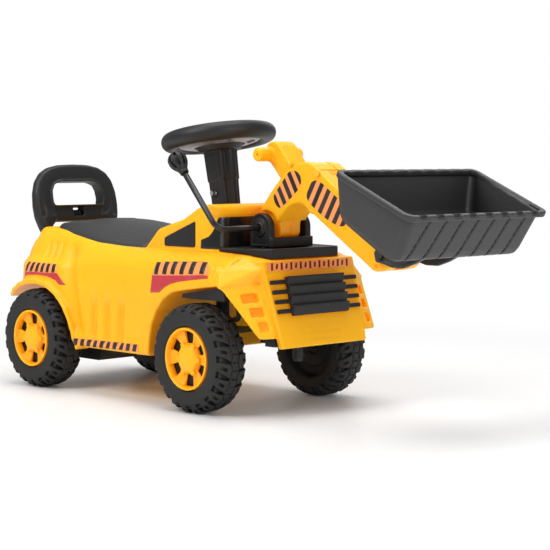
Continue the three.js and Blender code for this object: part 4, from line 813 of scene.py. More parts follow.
# ---------------------------------------------------------------- wheels
def make_tyre_field(h):
    fl = Field((-75, -27.5, -75), (75, 27.5, 75), h)
    X, Y, Z = fl.X, fl.Y, fl.Z
    R = np.sqrt(X * X + Z * Z)
    th = np.arctan2(Z, X)
    # cross section (radius, y): y positive outward
    prof = [
        (4.2, 9), (17, 9), (18.5, 12.6), (42.0, 12.6), (42.0, 22.4), (44.5, 23.6), (50, 24.7), (57, 24.9), (63, 24.2), (67.5, 21.6), (70.2, 17.6), (71.6, 12), (72, 5), (72, -5), (71.6, -12), (70.2, -17.6),
        (67.5, -21.6), (63, -24.2), (57, -24.9), (49, -24.6), (45, -23.2), (43.6, -19), (42, -13), (36, -12), (30, -12), (30, -14), (13, -14), (12, -12), (4.2, -12),
    ]
    ri = np.arange(0, 80, h / 2, dtype=f32)
    yi = np.arange(-28, 28, h / 2, dtype=f32)
    P = soft(poly(ri[:, None], yi[None, :], prof), 3)
    # look the section up by radius and y
    u = np.clip(R / (h / 2), 0, len(ri) - 1.001)
    i0 = u.astype(int)
    fu = u - i0
    yv = np.clip((Y + 28) / (h / 2), 0, len(yi) - 1.001)
    j0 = yv.astype(int)
    fv = yv - j0
    F = (P[i0, j0] * (1 - fu) + P[i0 + 1, j0] * fu) * (1 - fv) + (P[i0, j0 + 1] * (1 - fu) + P[i0 + 1, j0 + 1] * fu) * fv
    F = F.astype(f32)
    # tread: shoulder lugs, half a pitch apart left and right, zig-zag middle blocks and a moulding seam
    n = 20
    for s in (1, -1):
        ph = 0.0 if s > 0 else math.pi / n
        yy = Y * s
        skew = (yy - 8) * 0.0052
        a = (th + ph + skew) / (2 * math.pi / n)
        d = np.abs(a - np.round(a)) * (2 * math.pi / n) * np.maximum(R, 40)
        w = 1.7 + np.clip(yy - 8, 0, 18) * 0.17
        g = np.maximum(np.maximum(d - w, 7.0 - yy), 65.6 - R)
        side = np.maximum(np.maximum(d - w * 1.05, 20.6 - yy), 59.5 - R)
        F = smax(F, -g, 1.0)
        F = smax(F, -side, 1.2)
        # short half grooves between the long ones
        a2 = (th + ph + skew + math.pi / n) / (2 * math.pi / n)
        d2 = np.abs(a2 - np.round(a2)) * (2 * math.pi / n) * np.maximum(R, 40)
        g2 = np.maximum(np.maximum(d2 - 1.9, np.abs(yy - 20.0) - 7.0), 66.8 - R)
        F = smax(F, -g2, 0.9)
    # zig-zag grooves beside the middle rib
    zz = 2.0 * (np.abs(((th * 20 / math.pi) % 2) - 1) - 0.5)
    for s in (1, -1):
        c = 6.0 * s + zz * 1.2
        g = np.maximum(np.abs(Y - c) - 0.9, 69.6 - R)
        F = smax(F, -g, 0.8)
    m = (th) / (2 * math.pi / 40)
    dm = np.abs(m - np.round(m)) * (2 * math.pi / 40) * np.maximum(R, 40)
    F = smax(F, -np.maximum(np.maximum(dm - 0.9, np.abs(Y) - 5.0), 70.2 - R), 0.8)
    F = smin(F, np.maximum(np.abs(Y) - 0.55, np.abs(R - 72.0) - 0.35), 0.4) if h < 1.2 else F
    # sidewall: raised ring and shallow steps
    F = smin(F, np.sqrt((R - 46.5) ** 2 + (Y - 23.6) ** 2) - 1.1, 1.2)
    F = smin(F, np.sqrt((R - 60.5) ** 2 + (Y - 24.1) ** 2) - 0.9, 1.0)
    fl.F = F
    return fl


def make_rim_field(h):
    fl = Field((-43, 10, -43), (43, 28, 43), h)
    X, Y, Z = fl.X, fl.Y, fl.Z
    R = np.sqrt(X * X + Z * Z)
    prof = [(0, 13.2), (41.0, 13.2), (41.2, 24.2), (39.8, 25.0), (38.2, 24.6), (37.0, 21.4), (35.6, 17.8), (27, 16.2), (21.0, 16.4), (19.2, 18.6), (17.8, 21.4), (14.5, 23.4), (9, 24.6), (0, 25.1)]
    ri = np.arange(0, 48, h / 2, dtype=f32)
    yi = np.arange(8, 30, h / 2, dtype=f32)
    P = soft(poly(ri[:, None], yi[None, :], [(-20, 13.2)] + prof[1:] + [(-20, 25.1)]), 3)
    u = np.clip(R / (h / 2), 0, len(ri) - 1.001)
    i0 = u.astype(int)
    fu = u - i0
    yv = np.clip((Y - 8) / (h / 2), 0, len(yi) - 1.001)
    j0 = yv.astype(int)
    fv = yv - j0
    F = (P[i0, j0] * (1 - fu) + P[i0 + 1, j0] * fu) * (1 - fv) + (P[i0, j0 + 1] * (1 - fu) + P[i0 + 1, j0 + 1] * fu) * fv
    F = F.astype(f32)
    for i in range(6):
        a = math.radians(30 + 60 * i)
        e = (math.cos(a), math.sin(a))
        u_ = X * e[0] + Z * e[1]
        v_ = np.abs(-X * e[1] + Z * e[0])
        w = 5.2 + (u_ - 20.5) * 0.24
        g = np.maximum(np.maximum(v_ - w, 20.6 - u_), u_ - 36.2)
        g = soft(g[:, 0, :][:, None, :], 1) + 0 * Y
        F = smax(F, -g, 0.9)
        # raised foot from the hub onto the spoke between two windows
        b = math.radians(60 * i)
        e = (math.cos(b), math.sin(b))
        u_ = X * e[0] + Z * e[1]
        v_ = np.abs(-X * e[1] + Z * e[0])
        foot = np.maximum(np.maximum(v_ - 3.4, np.abs(u_ - 19.5) - 3.2), np.abs(Y - 17.5) - 3.4)
        F = smin(F, foot, 2.0)
        # shallow dish between foot and rim
        F = smax(F, -(np.sqrt((u_ - 28) ** 2 + (v_) ** 2 + (Y - 21.3) ** 2 * 1.4) - 4.4), 1.5)
    fl.F = F
    return fl


h = 1.05
tf = make_tyre_field(h)
TV, TQ = surface(np.pad(tf.F, 1, constant_values=50.0), tf.lo - tf.h, tf.h, 1)
h = 0.75
rf = make_rim_field(h)
RV, RQ = surface(np.pad(rf.F, 1, constant_values=50.0), rf.lo - rf.h, rf.h, 1)
del tf, rf
for fx, sx in (("front", 1), ("rear", -1)):
    for tag, s in (("left", 1), ("right", -1)):
        at = np.array([sx * 174.7, s * 111.8, 72.0])
        rot = math.radians({("front", "left"): 4, ("front", "right"): 0, ("rear", "left"): 13, ("rear", "right"): 0}[(fx, tag)])
        c_, s_ = math.cos(rot), math.sin(rot)
        for kind, V, Q, mat, slot in (("tyre", TV, TQ, "tyre", "tyre_plastic"), ("rim", RV, RQ, "yellow", "yellow_plastic")):
            P = V.copy()
            if s < 0:  # turned about the vertical, so the outer face looks the other way
                P[:, 0] *= -1
                P[:, 1] *= -1
            P = np.stack([P[:, 0] * c_ - P[:, 2] * s_, P[:, 1], P[:, 0] * s_ + P[:, 2] * c_], 1)
            piece(f"{fx}_{tag}_{kind}_moulding", mesh_of("m", place(P + at), Q), M[mat], f"wheel_{fx}_{tag}", (f"{fx}_{tag}_{kind}",))


# ---------------------------------------------------------------- seat
def make_seat():
    S = [  # x, crown z, top half width, top edge z, flank half width, flank z
        (-200, 236, 40, 234, 52, 233), (-196, 239, 58, 236, 66, 232.9), (-184, 241, 66, 238, 76, 232.3), (-160, 243, 68, 239, 84, 230.6),
        (-130, 244, 66, 239, 88, 226.2), (-90, 242, 60, 236, 90, 219.8), (-50, 238, 54, 231, 91, 214.6), (-15, 234, 50, 227.5, 91, 212.6), (12, 232, 46, 226, 89, 211.6), (28, 231, 42, 225.4, 87.4, 210.8),
    ]
    S = np.array(S, float)
    nx = 200
    nv = 160
    xs = np.linspace(-200, 28, nx)
    tab = [np.interp(xs, S[:, 0], S[:, k]) for k in range(1, 6)]
    for _ in range(6):
        for k in range(5):
            t = tab[k].copy()
            t[1:-1] = 0.25 * t[:-2] + 0.5 * t[1:-1] + 0.25 * t[2:]
            tab[k] = t
    V = np.zeros((nx, nv, 3))
    v = np.linspace(-1, 1, nv)
    for i, x in enumerate(xs):
        cz, tw, tz, fw, fz = [t[i] for t in tab]
        # rounded rear corners: the outline closes in over the last 22 mm
        e = max(0, (-178 - x) / 22)
        rear = math.sqrt(max(0.0, 1 - min(1, e) ** 2.4))
        fw_ = 46 + (fw - 46) * (0.25 + 0.75 * rear) if e > 0 else fw
        tw_ = min(tw, fw_ - 6)
        a = np.abs(v)
        y = np.sign(v) * fw_ * a
        zc = np.where(np.abs(y) < tw_, cz - (cz - tz) * (np.abs(y) / max(tw_, 1)) ** 2.2,
                      tz - (tz - fz) * (np.clip((np.abs(y) - tw_) / max(fw_ - tw_, 1), 0, 1)) ** 1.25)
        # edge rolls down at the rear, sides and front
        roll = 3.2 * np.clip((a - 0.965) / 0.035, 0, 1) ** 2
        z = zc - roll
        if x < -190:
            z -= 5.5 * ((-190 - x) / 10) ** 2
        if x > 24:
            z -= 1.6 * ((x - 24) / 4) ** 2
        V[i, :, 0], V[i, :, 1], V[i, :, 2] = x, y, z
    # soften the crease between the top and the flanks, then press the fan of grip lines
    Z = V[:, :, 2]
    for _ in range(10):
        Z[1:-1, 1:-1] = 0.5 * Z[1:-1, 1:-1] + 0.125 * (Z[2:, 1:-1] + Z[:-2, 1:-1] + Z[1:-1, 2:] + Z[1:-1, :-2])
    X, Y = V[:, :, 0], V[:, :, 1]
    for k in range(6):
        for s in (1, -1):
            u = (X + 172 - k * 6.5) * 0.83 - s * Y * 0.56
            m = np.exp(-(u / 1.1) ** 2) * (s * Y > -1) * step(s * Y, 1, 3) * (1 - step(s * Y, 27, 31)) * step(X, -182, -178) * (1 - step(X, -132, -126))
            Z += 0.75 * m
    top = V.reshape(-1, 3)
    bot = top.copy()
    bot[:, 2] -= 3.4
    bot[:, 1] *= 0.985
    idx = np.arange(nx * nv).reshape(nx, nv)
    q = np.stack([idx[:-1, :-1], idx[1:, :-1], idx[1:, 1:], idx[:-1, 1:]], -1).reshape(-1, 4)
    o = nx * nv
    Q = [q, q[:, ::-1] + o]
    for line, fl_ in ((idx[:, 0], False), (idx[:, -1], True), (idx[0, :], True), (idx[-1, :], False)):
        a, b = line[:-1], line[1:]
        w = np.stack([a, a + o, b + o, b], -1)
        Q.append(w[:, ::-1] if fl_ else w)
    Q = np.concatenate(Q)
    me = mesh_of("saddle_seat", place(np.concatenate([top, bot])), Q)
    bm = bmesh.new()
    bm.from_mesh(me)
    bmesh.ops.recalc_face_normals(bm, faces=bm.faces)
    bm.to_mesh(me)
    bm.free()
    me.polygons.foreach_set("use_smooth", np.full(len(me.polygons), True))
    return piece("saddle_seat", me, M["seat"], "seat_lid", ("seat",))


make_seat()
# hinge knuckle of the seat, under its front edge
prism("seat_hinge_knuckle", [(14, 226.4), (14, 230.5), (24, 232.6), (30, 234), (36, 234.2), (38.2, 231), (38.2, 228.4), (36, 226), (30, 225.4)], "y", -10.8, 10.8, M["seat"], "seat_lid", bevel=1.0)


# ---------------------------------------------------------------- backrest loop
def make_back():
    a = math.radians(9.5)
    h = 1.5
    fl = Field((-15, -82, -8), (15, 82, 118), h)
    X, Y, Z = fl.X, fl.Y, fl.Z
    A = np.abs(Y)
    out = [(-62, -4), (-70, 10), (-76.5, 28), (-78, 46), (-76.5, 66), (-71, 84), (-61, 97), (-47, 105), (-28, 109), (0, 110), (28, 109), (47, 105), (61, 97), (71, 84), (76.5, 66), (78, 46), (76.5, 28), (70, 10), (62, -4)]
    o = soft(poly(Y, Z, out), 3)
    hole = soft(poly(Y, Z, [(-45, 46), (-47.5, 54), (-47, 68), (-42, 78), (-30, 82.5), (30, 82.5), (42, 78), (47, 68), (47.5, 54), (45, 46)]), 2)
    low = soft(poly(Y, Z, [(-52, -10), (-49, 14), (-42, 21), (42, 21), (49, 14), (52, -10)]), 2)
    ringd = np.maximum(np.maximum(o, -hole), -low) + 0 * X
    # thick loop with a rounded section, front face dished between two lips
    thick = 11.0 - 0 * Y
    F = smax(ringd, np.abs(X) - thick, 13)
    # cross rail: a little thinner, with a notch and a step in the middle
    rail = np.maximum(np.abs(Z - 33.5) - 13, A - 44)
    F = smax(F, -np.maximum(np.maximum(rail + 2.5, 7.5 - X), -1e3 + 0 * Y), 3)
    F = smax(F, -boxd(X, Y, Z, (-2, -9.5, 30), (14, 9.5, 60), 2.0), 1.6)
    F = smax(F, -boxd(X, Y, Z, (-14, -9.0, 40), (14, 9.0, 60), 2.0), 1.6)
    # lip around the opening
    F = smin(F, np.maximum(np.abs(hole - 1.2) - 1.4, np.abs(X) - 11.2) + 0 * Y, 1.2)
    # dished front band on the uprights and top
    mid = np.maximum(np.abs(np.maximum(o, -hole) + 10.5) - 3.8, 9.2 - X)
    F = smax(F, -np.maximum(mid, 30 - Z), 3.0)
    fl.F = F

    def mv(V):
        x, y, z = V[:, 0], V[:, 1], V[:, 2]
        return np.stack([-236.5 + x * math.cos(a) - z * math.sin(a), y, 215.5 + x * math.sin(a) + z * math.cos(a)], 1)

    V, Q = surface(np.pad(fl.F, 1, constant_values=50.0), fl.lo - fl.h, fl.h, 2)
    V = mv(V)
    # feet stand flat on the deck and clear of the seat
    V[:, 2] = np.maximum(V[:, 2], 214.5)
    return piece("backrest_loop", mesh_of("backrest_loop", place(V), Q), M["black"], "body", ("backrest",))


make_back()


# ---------------------------------------------------------------- steering
W0 = np.array(on_col(361.0))


def col_frame(V):
    """from the column's own upright frame (origin at the wheel centre) to the working frame"""
    c, s = math.cos(TILT), math.sin(TILT)
    x, y, z = V[:, 0], V[:, 1], V[:, 2]
    return np.stack([W0[0] + x * c - z * s, W0[1] + y, W0[2] + x * s + z * c], 1)


def make_wheel():
    h = 1.3
    fl = Field((-82, -82, -23), (82, 82, 18), h)
    X, Y, Z = fl.X, fl.Y, fl.Z
    R = np.sqrt(X * X + Y * Y)
    th = np.arctan2(Y, X)
    # rim: flattened ring
    dz = Z / 1.02
    F = np.sqrt((R - 68.0) ** 2 + dz * dz) - 12.0
    # hub, and a skirt under it
    hub = smax(R - 30, np.abs(Z - 2.5) - 7.5, 6)
    F = smin(F, hub + 0 * X, 2)
    F = smin(F, smax(smax(R - 33.5 - np.clip(Z + 12, -12, 0) * 0.75, np.abs(Z + 12.0) - 7.6, 2.0), 17.0 - R, 0.5), 1.0)
    for a in (0, 125, 235):
        e = (math.cos(math.radians(a)), math.sin(math.radians(a)))
        u = X * e[0] + Y * e[1]
        v = np.abs(-X * e[1] + Y * e[0])
        w = 13.5 - (u - 20) * 0.06
        sp = smax(smax(v - w, np.abs(Z - 1.5 + (u - 30) * 0.03) - 4.6, 4), np.maximum(15 - u, u - 64), 2)
        F = smin(F, sp, 6)
    F = smax(F, -np.maximum(R - 16.6, 2.5 - Z), 1.0)
    fl.F = F.astype(f32)
    return from_field("steering_wheel_moulding", fl, M["black"], "steering", ("steering_wheel",), 2, col_frame)


make_wheel()


def make_under():
    h = 1.1
    fl = Field((-60, -60, -16), (60, 60, 0), h)
    X, Y, Z = fl.X, fl.Y, fl.Z
    R = np.sqrt(X * X + Y * Y)
    th = np.arctan2(Y, X)
    # dished ring between the hub and the rim, with slots
    ri = np.arange(0, 70, h / 2, dtype=f32)
    zi = np.arange(-18, 3, h / 2, dtype=f32)
    P = soft(poly(ri[:, None], zi[None, :], [(34.9, -5.8), (44, -6.2), (57.2, -5.0), (58.2, -7.4), (53, -9.6), (42, -12.2), (34.9, -12.6)]), 2)
    u = np.clip(R / (h / 2), 0, len(ri) - 1.001)
    i0 = u.astype(int)
    fu = u - i0
    zv = np.clip((Z + 18) / (h / 2), 0, len(zi) - 1.001)
    j0 = zv.astype(int)
    fv = zv - j0
    F = (P[i0, j0] * (1 - fu) + P[i0 + 1, j0] * fu) * (1 - fv) + (P[i0, j0 + 1] * (1 - fu) + P[i0 + 1, j0 + 1] * fu) * fv
    n = 12
    a = th / (2 * math.pi / n)
    d = np.abs(a - np.round(a)) * (2 * math.pi / n) * np.maximum(R, 20)
    slot = np.maximum(np.maximum(np.abs(np.abs(th) - 0.62) * R - 9.0, 39 - R), R - 49) + 0 * d
    F = smax(F, -np.maximum(slot, Z + 8.2), 0.8)
    fl.F = F.astype(f32)
    return from_field("wheel_underside_dish", fl, M["under"], "steering", ("wheel_underside",), 1, col_frame)


make_under()


def lathe_col(name, prof, seg, mat, body_name, rep):
    up = (-math.sin(TILT), 0, math.cos(TILT))
    return lathe(name, prof, seg, tuple(W0), up, mat, body_name, rep)


lathe_col("horn_button_cap", [(0, 8.5), (11.6, 8.5), (12, 8.2), (12, 6.4), (12.6, 6.2), (15.4, 6.2), (15.8, 6.6), (15.8, 12.2), (15.3, 13.4), (14, 14.4), (11.4, 15.1), (10.6, 15.0), (10.0, 14.4), (9.2, 14.5), (5, 15.1), (0, 15.3)], 64, M["black"], "horn", ("horn_button",))


def make_column():
    h = 1.0
    fl = Field((-21, -21, -136), (31, 21, -11), h)
    X, Y, Z = fl.X, fl.Y, fl.Z
    t = np.clip((Z + 129) / 111, 0, 1)
    stepz = 0.9 * (1 - step(Z, -60.4, -59.6))  # the lower sleeve sits 0.9 mm inside the upper
    w = 15.8 + 2.4 * t - stepz
    d = 14.8 + 2.9 * t - stepz
    q1, q2 = np.abs(Y) - (w - 5), np.abs(X) - (d - 5)
    box = np.sqrt(np.maximum(q1, 0) ** 2 + np.maximum(q2, 0) ** 2) + np.minimum(np.maximum(q1, q2), 0) - 5
    rr = 8.0 + 1.0 * t - stepz
    rib = np.sqrt((X - d * 0.98) ** 2 + Y * Y) - rr
    F = smin(box, rib, 1.6)
    # fine groove down each side, and a flange under the wheel
    F = smax(F, -(np.sqrt((X - d + 9.5) ** 2 + (np.abs(Y) - w) ** 2) - 0.7), 0.5)
    F = smax(F, np.abs(Z + 73.5) - 60.2, 0.8)
    fl2 = np.maximum(np.sqrt(X * X + Y * Y) - 23.4, np.abs(Z + 15.6) - 2.4)
    F = smin(F, fl2, 2.0)
    F = smax(F, -(np.sqrt(X * X + Y * Y) - 4.3), 0.3)
    F = smax(F, -np.maximum(np.sqrt((X + 3) ** 2 + (Z + 77) ** 2) - 4.3, 15.1 - np.abs(Y)), 0.4)
    fl.F = F.astype(f32)
    return from_field("column_sleeve", fl, M["black"], "steering", ("steering_column",), 1, col_frame)


make_column()


def screw(name, at, direction, r, depth, body_name, rep=(), mat="steel"):
    """pan head with a cross recess; `at` is the seat of the head and direction points out of it"""
    V, F_ = [], []
    seg, rows = 32, [(0.0, -0.2), (r, -0.2), (r, depth * 0.35), (r * 0.86, depth * 0.8), (r * 0.5, depth), (0.0, depth)]
    bm = bmesh.new()
    ring_prev = None
    for k, (rr, hh) in enumerate(rows):
        if rr == 0:
            cur = [bm.verts.new((0, 0, hh))]
        else:
            cur = [bm.verts.new((rr * math.cos(2 * math.pi * i / seg), rr * math.sin(2 * math.pi * i / seg), hh)) for i in range(seg)]
        if ring_prev:
            for i in range(seg):
                j = (i + 1) % seg
                if len(ring_prev) == 1:
                    bm.faces.new((ring_prev[0], cur[i], cur[j]))
                elif len(cur) == 1:
                    bm.faces.new((ring_prev[i], cur[0], ring_prev[j]))
                else:
                    bm.faces.new((ring_prev[i], cur[i], cur[j], ring_prev[j]))
        ring_prev = cur
    # cross recess: the crown's inner points near the two slots are pushed in
    for v in bm.verts:
        if v.co.z > depth * 0.9 and (min(abs(v.co.x), abs(v.co.y)) < r * 0.14):
            v.co.z -= depth * 0.55
    bmesh.ops.recalc_face_normals(bm, faces=bm.faces)
    R = Vector((0, 0, 1)).rotation_difference(Vector(direction)).to_matrix()
    for v in bm.verts:
        w = R @ v.co + Vector(at)
        v.co = ((w.x - OX) * 0.001, w.y * 0.001, w.z * 0.001)
    me = bpy.data.meshes.new(name)
    bm.to_mesh(me)
    bm.free()
    return piece(name, me, M[mat], body_name, rep)


p = col_frame(np.array([[-3.0, -15.4, -77.0]]))[0]
screw("column_screw_head", tuple(p), (0, -1, 0), 3.3, 2.0, "steering")

# ---------------------------------------------------------------- boom
BOOM = [
    (195, 247), (198, 256), (206.6, 271.3), (221, 288), (236.6, 303.5), (250, 314.5), (261.8, 321), (273, 326), (289, 327.6), (298, 325.6), (320, 311), (344.4, 294.1),
    (385, 263.5), (424, 233), (437, 220.5), (440.5, 210), (437, 200.5), (428.7, 195), (412, 192), (405.1, 192.8), (396.9, 198.4), (370, 215.6), (345.3, 231.4), (321.4, 246.9), (299.4, 261),
    (294.5, 260.5), (291, 265.5), (286.5, 270.3), (280, 273.3), (272.9, 274), (263, 272.6), (255, 269.2), (247.1, 263.1), (238, 254.6), (232.6, 248), (232, 233.4), (224, 223.8), (212, 220.4), (200, 224.5), (192.6, 233),
]
BOOM_IN = [
    (196, 285), (228, 286), (243, 272), (256, 275), (272, 280.5), (284, 279), (296, 268), (322, 253), (370, 222), (400, 201.5), (409, 196.6), (426, 198.4), (436, 206),
    (437, 214), (428, 224), (383, 256.5), (342, 287.5), (328, 297.5), (324, 345), (230, 345),
]


def make_boom():
    h = 1.2
    fl = Field((188, -29.5, 188), (444, 29.5, 331), h)
    X, Y, Z = fl.X, fl.Y, fl.Z
    A = np.abs(Y)
    o = soft(poly(X, Z, BOOM), 3)
    F = smax(o + 0 * Y, A - 27, 3.5)
    inn = poly(X, Z, BOOM_IN)
    deep = np.minimum(np.minimum(
        np.maximum(poly(X, Z, [(180, 350), (180, 262), (258, 262), (258, 297), (252, 303), (252, 350)]) + 0 * Y, A - 17),
        np.maximum(poly(X, Z, [(250, 350), (250, 262), (306, 262), (306, 300), (319, 300), (319, 350)]) + 0 * Y, A - 10.4)),
        np.maximum(poly(X, Z, [(291, 315), (291, 190), (460, 190), (460, 300), (328, 300), (312, 312)]) + 0 * Y, A - 14))
    F = smax(F, -np.maximum(inn + 0 * Y, deep), 1.0)
    # pressed line along the edge of each side
    F = smax(F, -(np.maximum(np.abs(o + 3.6) - 0.55, 26.55 - A) + 0 * Y), 0.5)
    (bx, bz) = 425.0, 214.0
    tip = np.minimum(np.sqrt((X - bx) ** 2 + (Z - bz) ** 2) - 20.8, np.maximum(np.maximum(432 - X, 180 - Z), Z - 240))
    F = smax(F, -np.maximum(tip + 0 * Y, A - 10.6), 1.0)
    # tongue between the yoke cheeks
    cut = np.minimum(np.sqrt((X - 212) ** 2 + (Z - 241) ** 2) - 22.5, poly(X, Z, [(180, 262), (212, 262), (236, 240), (236, 215), (180, 215)]))
    F = smax(F, -np.maximum(cut + 0 * Y, 18.2 - A), 1.6)
    # bores, screw seats
    F = smax(F, -(np.sqrt((X - 212) ** 2 + (Z - 241) ** 2) - 4.2 + 0 * Y), 0.5)
    for (x, z, r, y1) in ((308.7, 313.4, 3.4, 22.5), (425, 214, 3.8, 99)):
        F = smax(F, -np.maximum(np.sqrt((X - x) ** 2 + (Z - z) ** 2) - r + 0 * Y, A - y1), 0.4)
    F = smax(F, -(np.sqrt((X - 308.7) ** 2 + (Z - 313.4) ** 2) - 1.9 + 0 * Y), 0.4)
    for (x, z) in ((252, 266.4), (352, 235.4)):
        F = smax(F, -np.maximum(np.sqrt((X - x) ** 2 + (Z - z) ** 2) - 3.9, 25.0 - Y), 0.5)
    # shallow screw pocket seen on the outer faces near the end
    for (x, z) in ((412.3, 199.5),):
        F = smax(F, -np.maximum(np.sqrt((X - x) ** 2 + (Z - z) ** 2) - 3.0, 24.2 - A), 0.6)
    # parting line round the boom
    F = smax(F, -np.maximum(np.abs(Y) - 0.45, -(o + 0.9)), 0.5)
    Fo = F.astype(f32)
    for name, s, rep in (("boom_right_moulding", -1, "boom_right_shell"), ("boom_left_moulding", 1, "boom_left_shell")):
        fl.F = np.maximum(Fo, -(Y * s) + 0.12).astype(f32)
        from_field(name, fl, M["yellow"], "boom", (rep,), 1)


make_boom()
screw("boom_screw_head_rear", (252, 25.2, 266.4), (0, 1, 0), 3.3, 1.6, "boom", ("boom_screw_rear",))
screw("boom_screw_head_front", (352, 25.2, 235.4), (0, 1, 0), 3.3, 1.6, "boom", ("boom_screw_front",))


def rounded(pts, r, n=6):
    out = []
    m = len(pts)
    for i in range(m):
        a, b, c = [np.array(pts[(i + k) % m], float) for k in (-1, 0, 1)]
        u, v = a - b, c - b
        lu, lv = np.linalg.norm(u), np.linalg.norm(v)
        t = min(r, lu * 0.49, lv * 0.49)
        p, q = b + u / lu * t, b + v / lv * t
        for k in range(n + 1):
            s = k / n
            out.append(tuple((1 - s) ** 2 * p + 2 * s * (1 - s) * b + s * s * q))
    return out


def clip_poly(subject, clip):
    """part of a convex-ish outline inside a convex outline"""
    def side(p, a, b):
        return (b[0] - a[0]) * (p[1] - a[1]) - (b[1] - a[1]) * (p[0] - a[0])
    ar = sum(clip[i][0] * clip[(i + 1) % len(clip)][1] - clip[(i + 1) % len(clip)][0] * clip[i][1] for i in range(len(clip)))
    if ar < 0:
        clip = clip[::-1]
    out = list(subject)
    for i in range(len(clip)):
        a, b = clip[i], clip[(i + 1) % len(clip)]
        src, out = out, []
        for j in range(len(src)):
            p, q = src[j - 1], src[j]
            sp, sq = side(p, a, b), side(q, a, b)
            if sq >= 0:
                if sp < 0:
                    out.append(lerp(p, q, sp / (sp - sq)))
                out.append(q)
            elif sp >= 0:
                out.append(lerp(p, q, sp / (sp - sq)))
        if not out:
            return []
    return out


# boom stickers: two rounded leaf shapes with slanted black bars
def bars_of(n, at, half, mid):
    d = (-n[1], n[0])
    m = mid[0] * d[0] + mid[1] * d[1]
    return [[(n[0] * (p + a * half) + d[0] * (m + b * 70), n[1] * (p + a * half) + d[1] * (m + b * 70)) for a, b in ((-1, -1), (1, -1), (1, 1), (-1, 1))] for p in at]


REAR_LEAF = rounded([(256.3, 314.5), (264.1, 316.8), (271.9, 315.5), (278.5, 309.3), (279.8, 302.0), (275.9, 293.8), (266.9, 285.5), (256.4, 278.0), (245.9, 270.5), (239.3, 266.7), (232.6, 271.1), (228.5, 278.4), (228.5, 283.9), (235.2, 291.4), (245.8, 303.0)], 4)
FRONT_LEAF = rounded([(300.3, 303.2), (309.2, 304.2), (318.1, 300.3), (341.3, 284.6), (359.0, 271.0), (366.0, 262.0), (364.0, 253.0), (356.0, 246.5), (346.0, 247.0), (330.0, 253.0), (315.8, 260.8), (305.6, 267.4), (296.7, 273.5), (290.2, 280.5), (290.2, 287.8), (294.0, 296.0)], 4)
BARS_R = bars_of((0.864, 0.503), (340.0, 353.2, 366.5, 379.8, 393.4), 3.5, (255, 292))
BARS_F = bars_of((0.863, -0.506), (108.6, 122.8, 137.0, 151.2, 165.4, 179.6), 3.5, (325, 278))
for side, tag in ((-1, "right"), (1, "left")):
    for nm, leaf, bars in (("rear", REAR_LEAF, BARS_R), ("front", FRONT_LEAF, BARS_F)):
        decal(f"boom_{nm}_sticker_peach_{tag}", [leaf], side, M["peach"], 0.2, None, "boom", flat_y=side * 27.02)
        cut = []
        for b in bars:
            q = clip_poly(leaf, b)
            q = [q[i] for i in range(len(q)) if math.dist(q[i], q[i - 1]) > 0.05]
            if len(q) > 2:
                cut.append(q)
        decal(f"boom_{nm}_sticker_bars_{tag}", cut, side, M["ink"], 0.36, None, "boom", flat_y=side * 27.02)

# ---------------------------------------------------------------- T handle
HANDLE = [
    (201.5, 333), (200, 342), (202, 349), (207, 353.5), (214, 354.8), (222, 354), (228, 349), (253, 319.5), (262, 320.4), (273, 325.4), (289, 327), (297.6, 325), (312, 315.4), (316, 311), (317, 303),
    (309, 295.6), (302, 293.2), (292, 295.5), (278, 300.5), (262, 303), (246, 302.5), (231, 302.2), (219, 316), (206, 329.5),
]


def make_handle():
    h = 1.1
    fl = Field((194, -42, 289), (326, 42, 360), h)
    X, Y, Z = fl.X, fl.Y, fl.Z
    A = np.abs(Y)
    o = poly(X, Z, HANDLE)
    so = soft(o, 3)
    F = smin(np.maximum(smax(so + 0 * Y, A - 16.2, 3.2), X - 248), smax(o + 0 * Y, A - 9.7, 1.2), 0.6)
    peg = smax(np.sqrt((X - 208.5) ** 2 + (Z - 337.5) ** 2) - 9.2 + 0 * Y, A - 39, 3.0)
    F = smin(F, peg, 2.5)
    F = smax(F, -np.maximum(np.sqrt((X - 208.5) ** 2 + (Z - 337.5) ** 2) - 1.7, 33 - A), 0.3)
    F = smax(F, -(np.sqrt((X - 308.7) ** 2 + (Z - 313.4) ** 2) - 3.6 + 0 * Y), 0.4)
    F = smax(F, -np.maximum(poly(X, Z, [(292, 285), (292, 304), (297, 306.7), (302, 306.9), (330, 309.1), (330, 285)]) + 0 * Y, A - 5), 0.4)
    fl.F = F.astype(f32)
    return from_field("tip_handle_moulding", fl, M["yellow"], "tip_handle", ("bucket_handle",), 2)


make_handle()


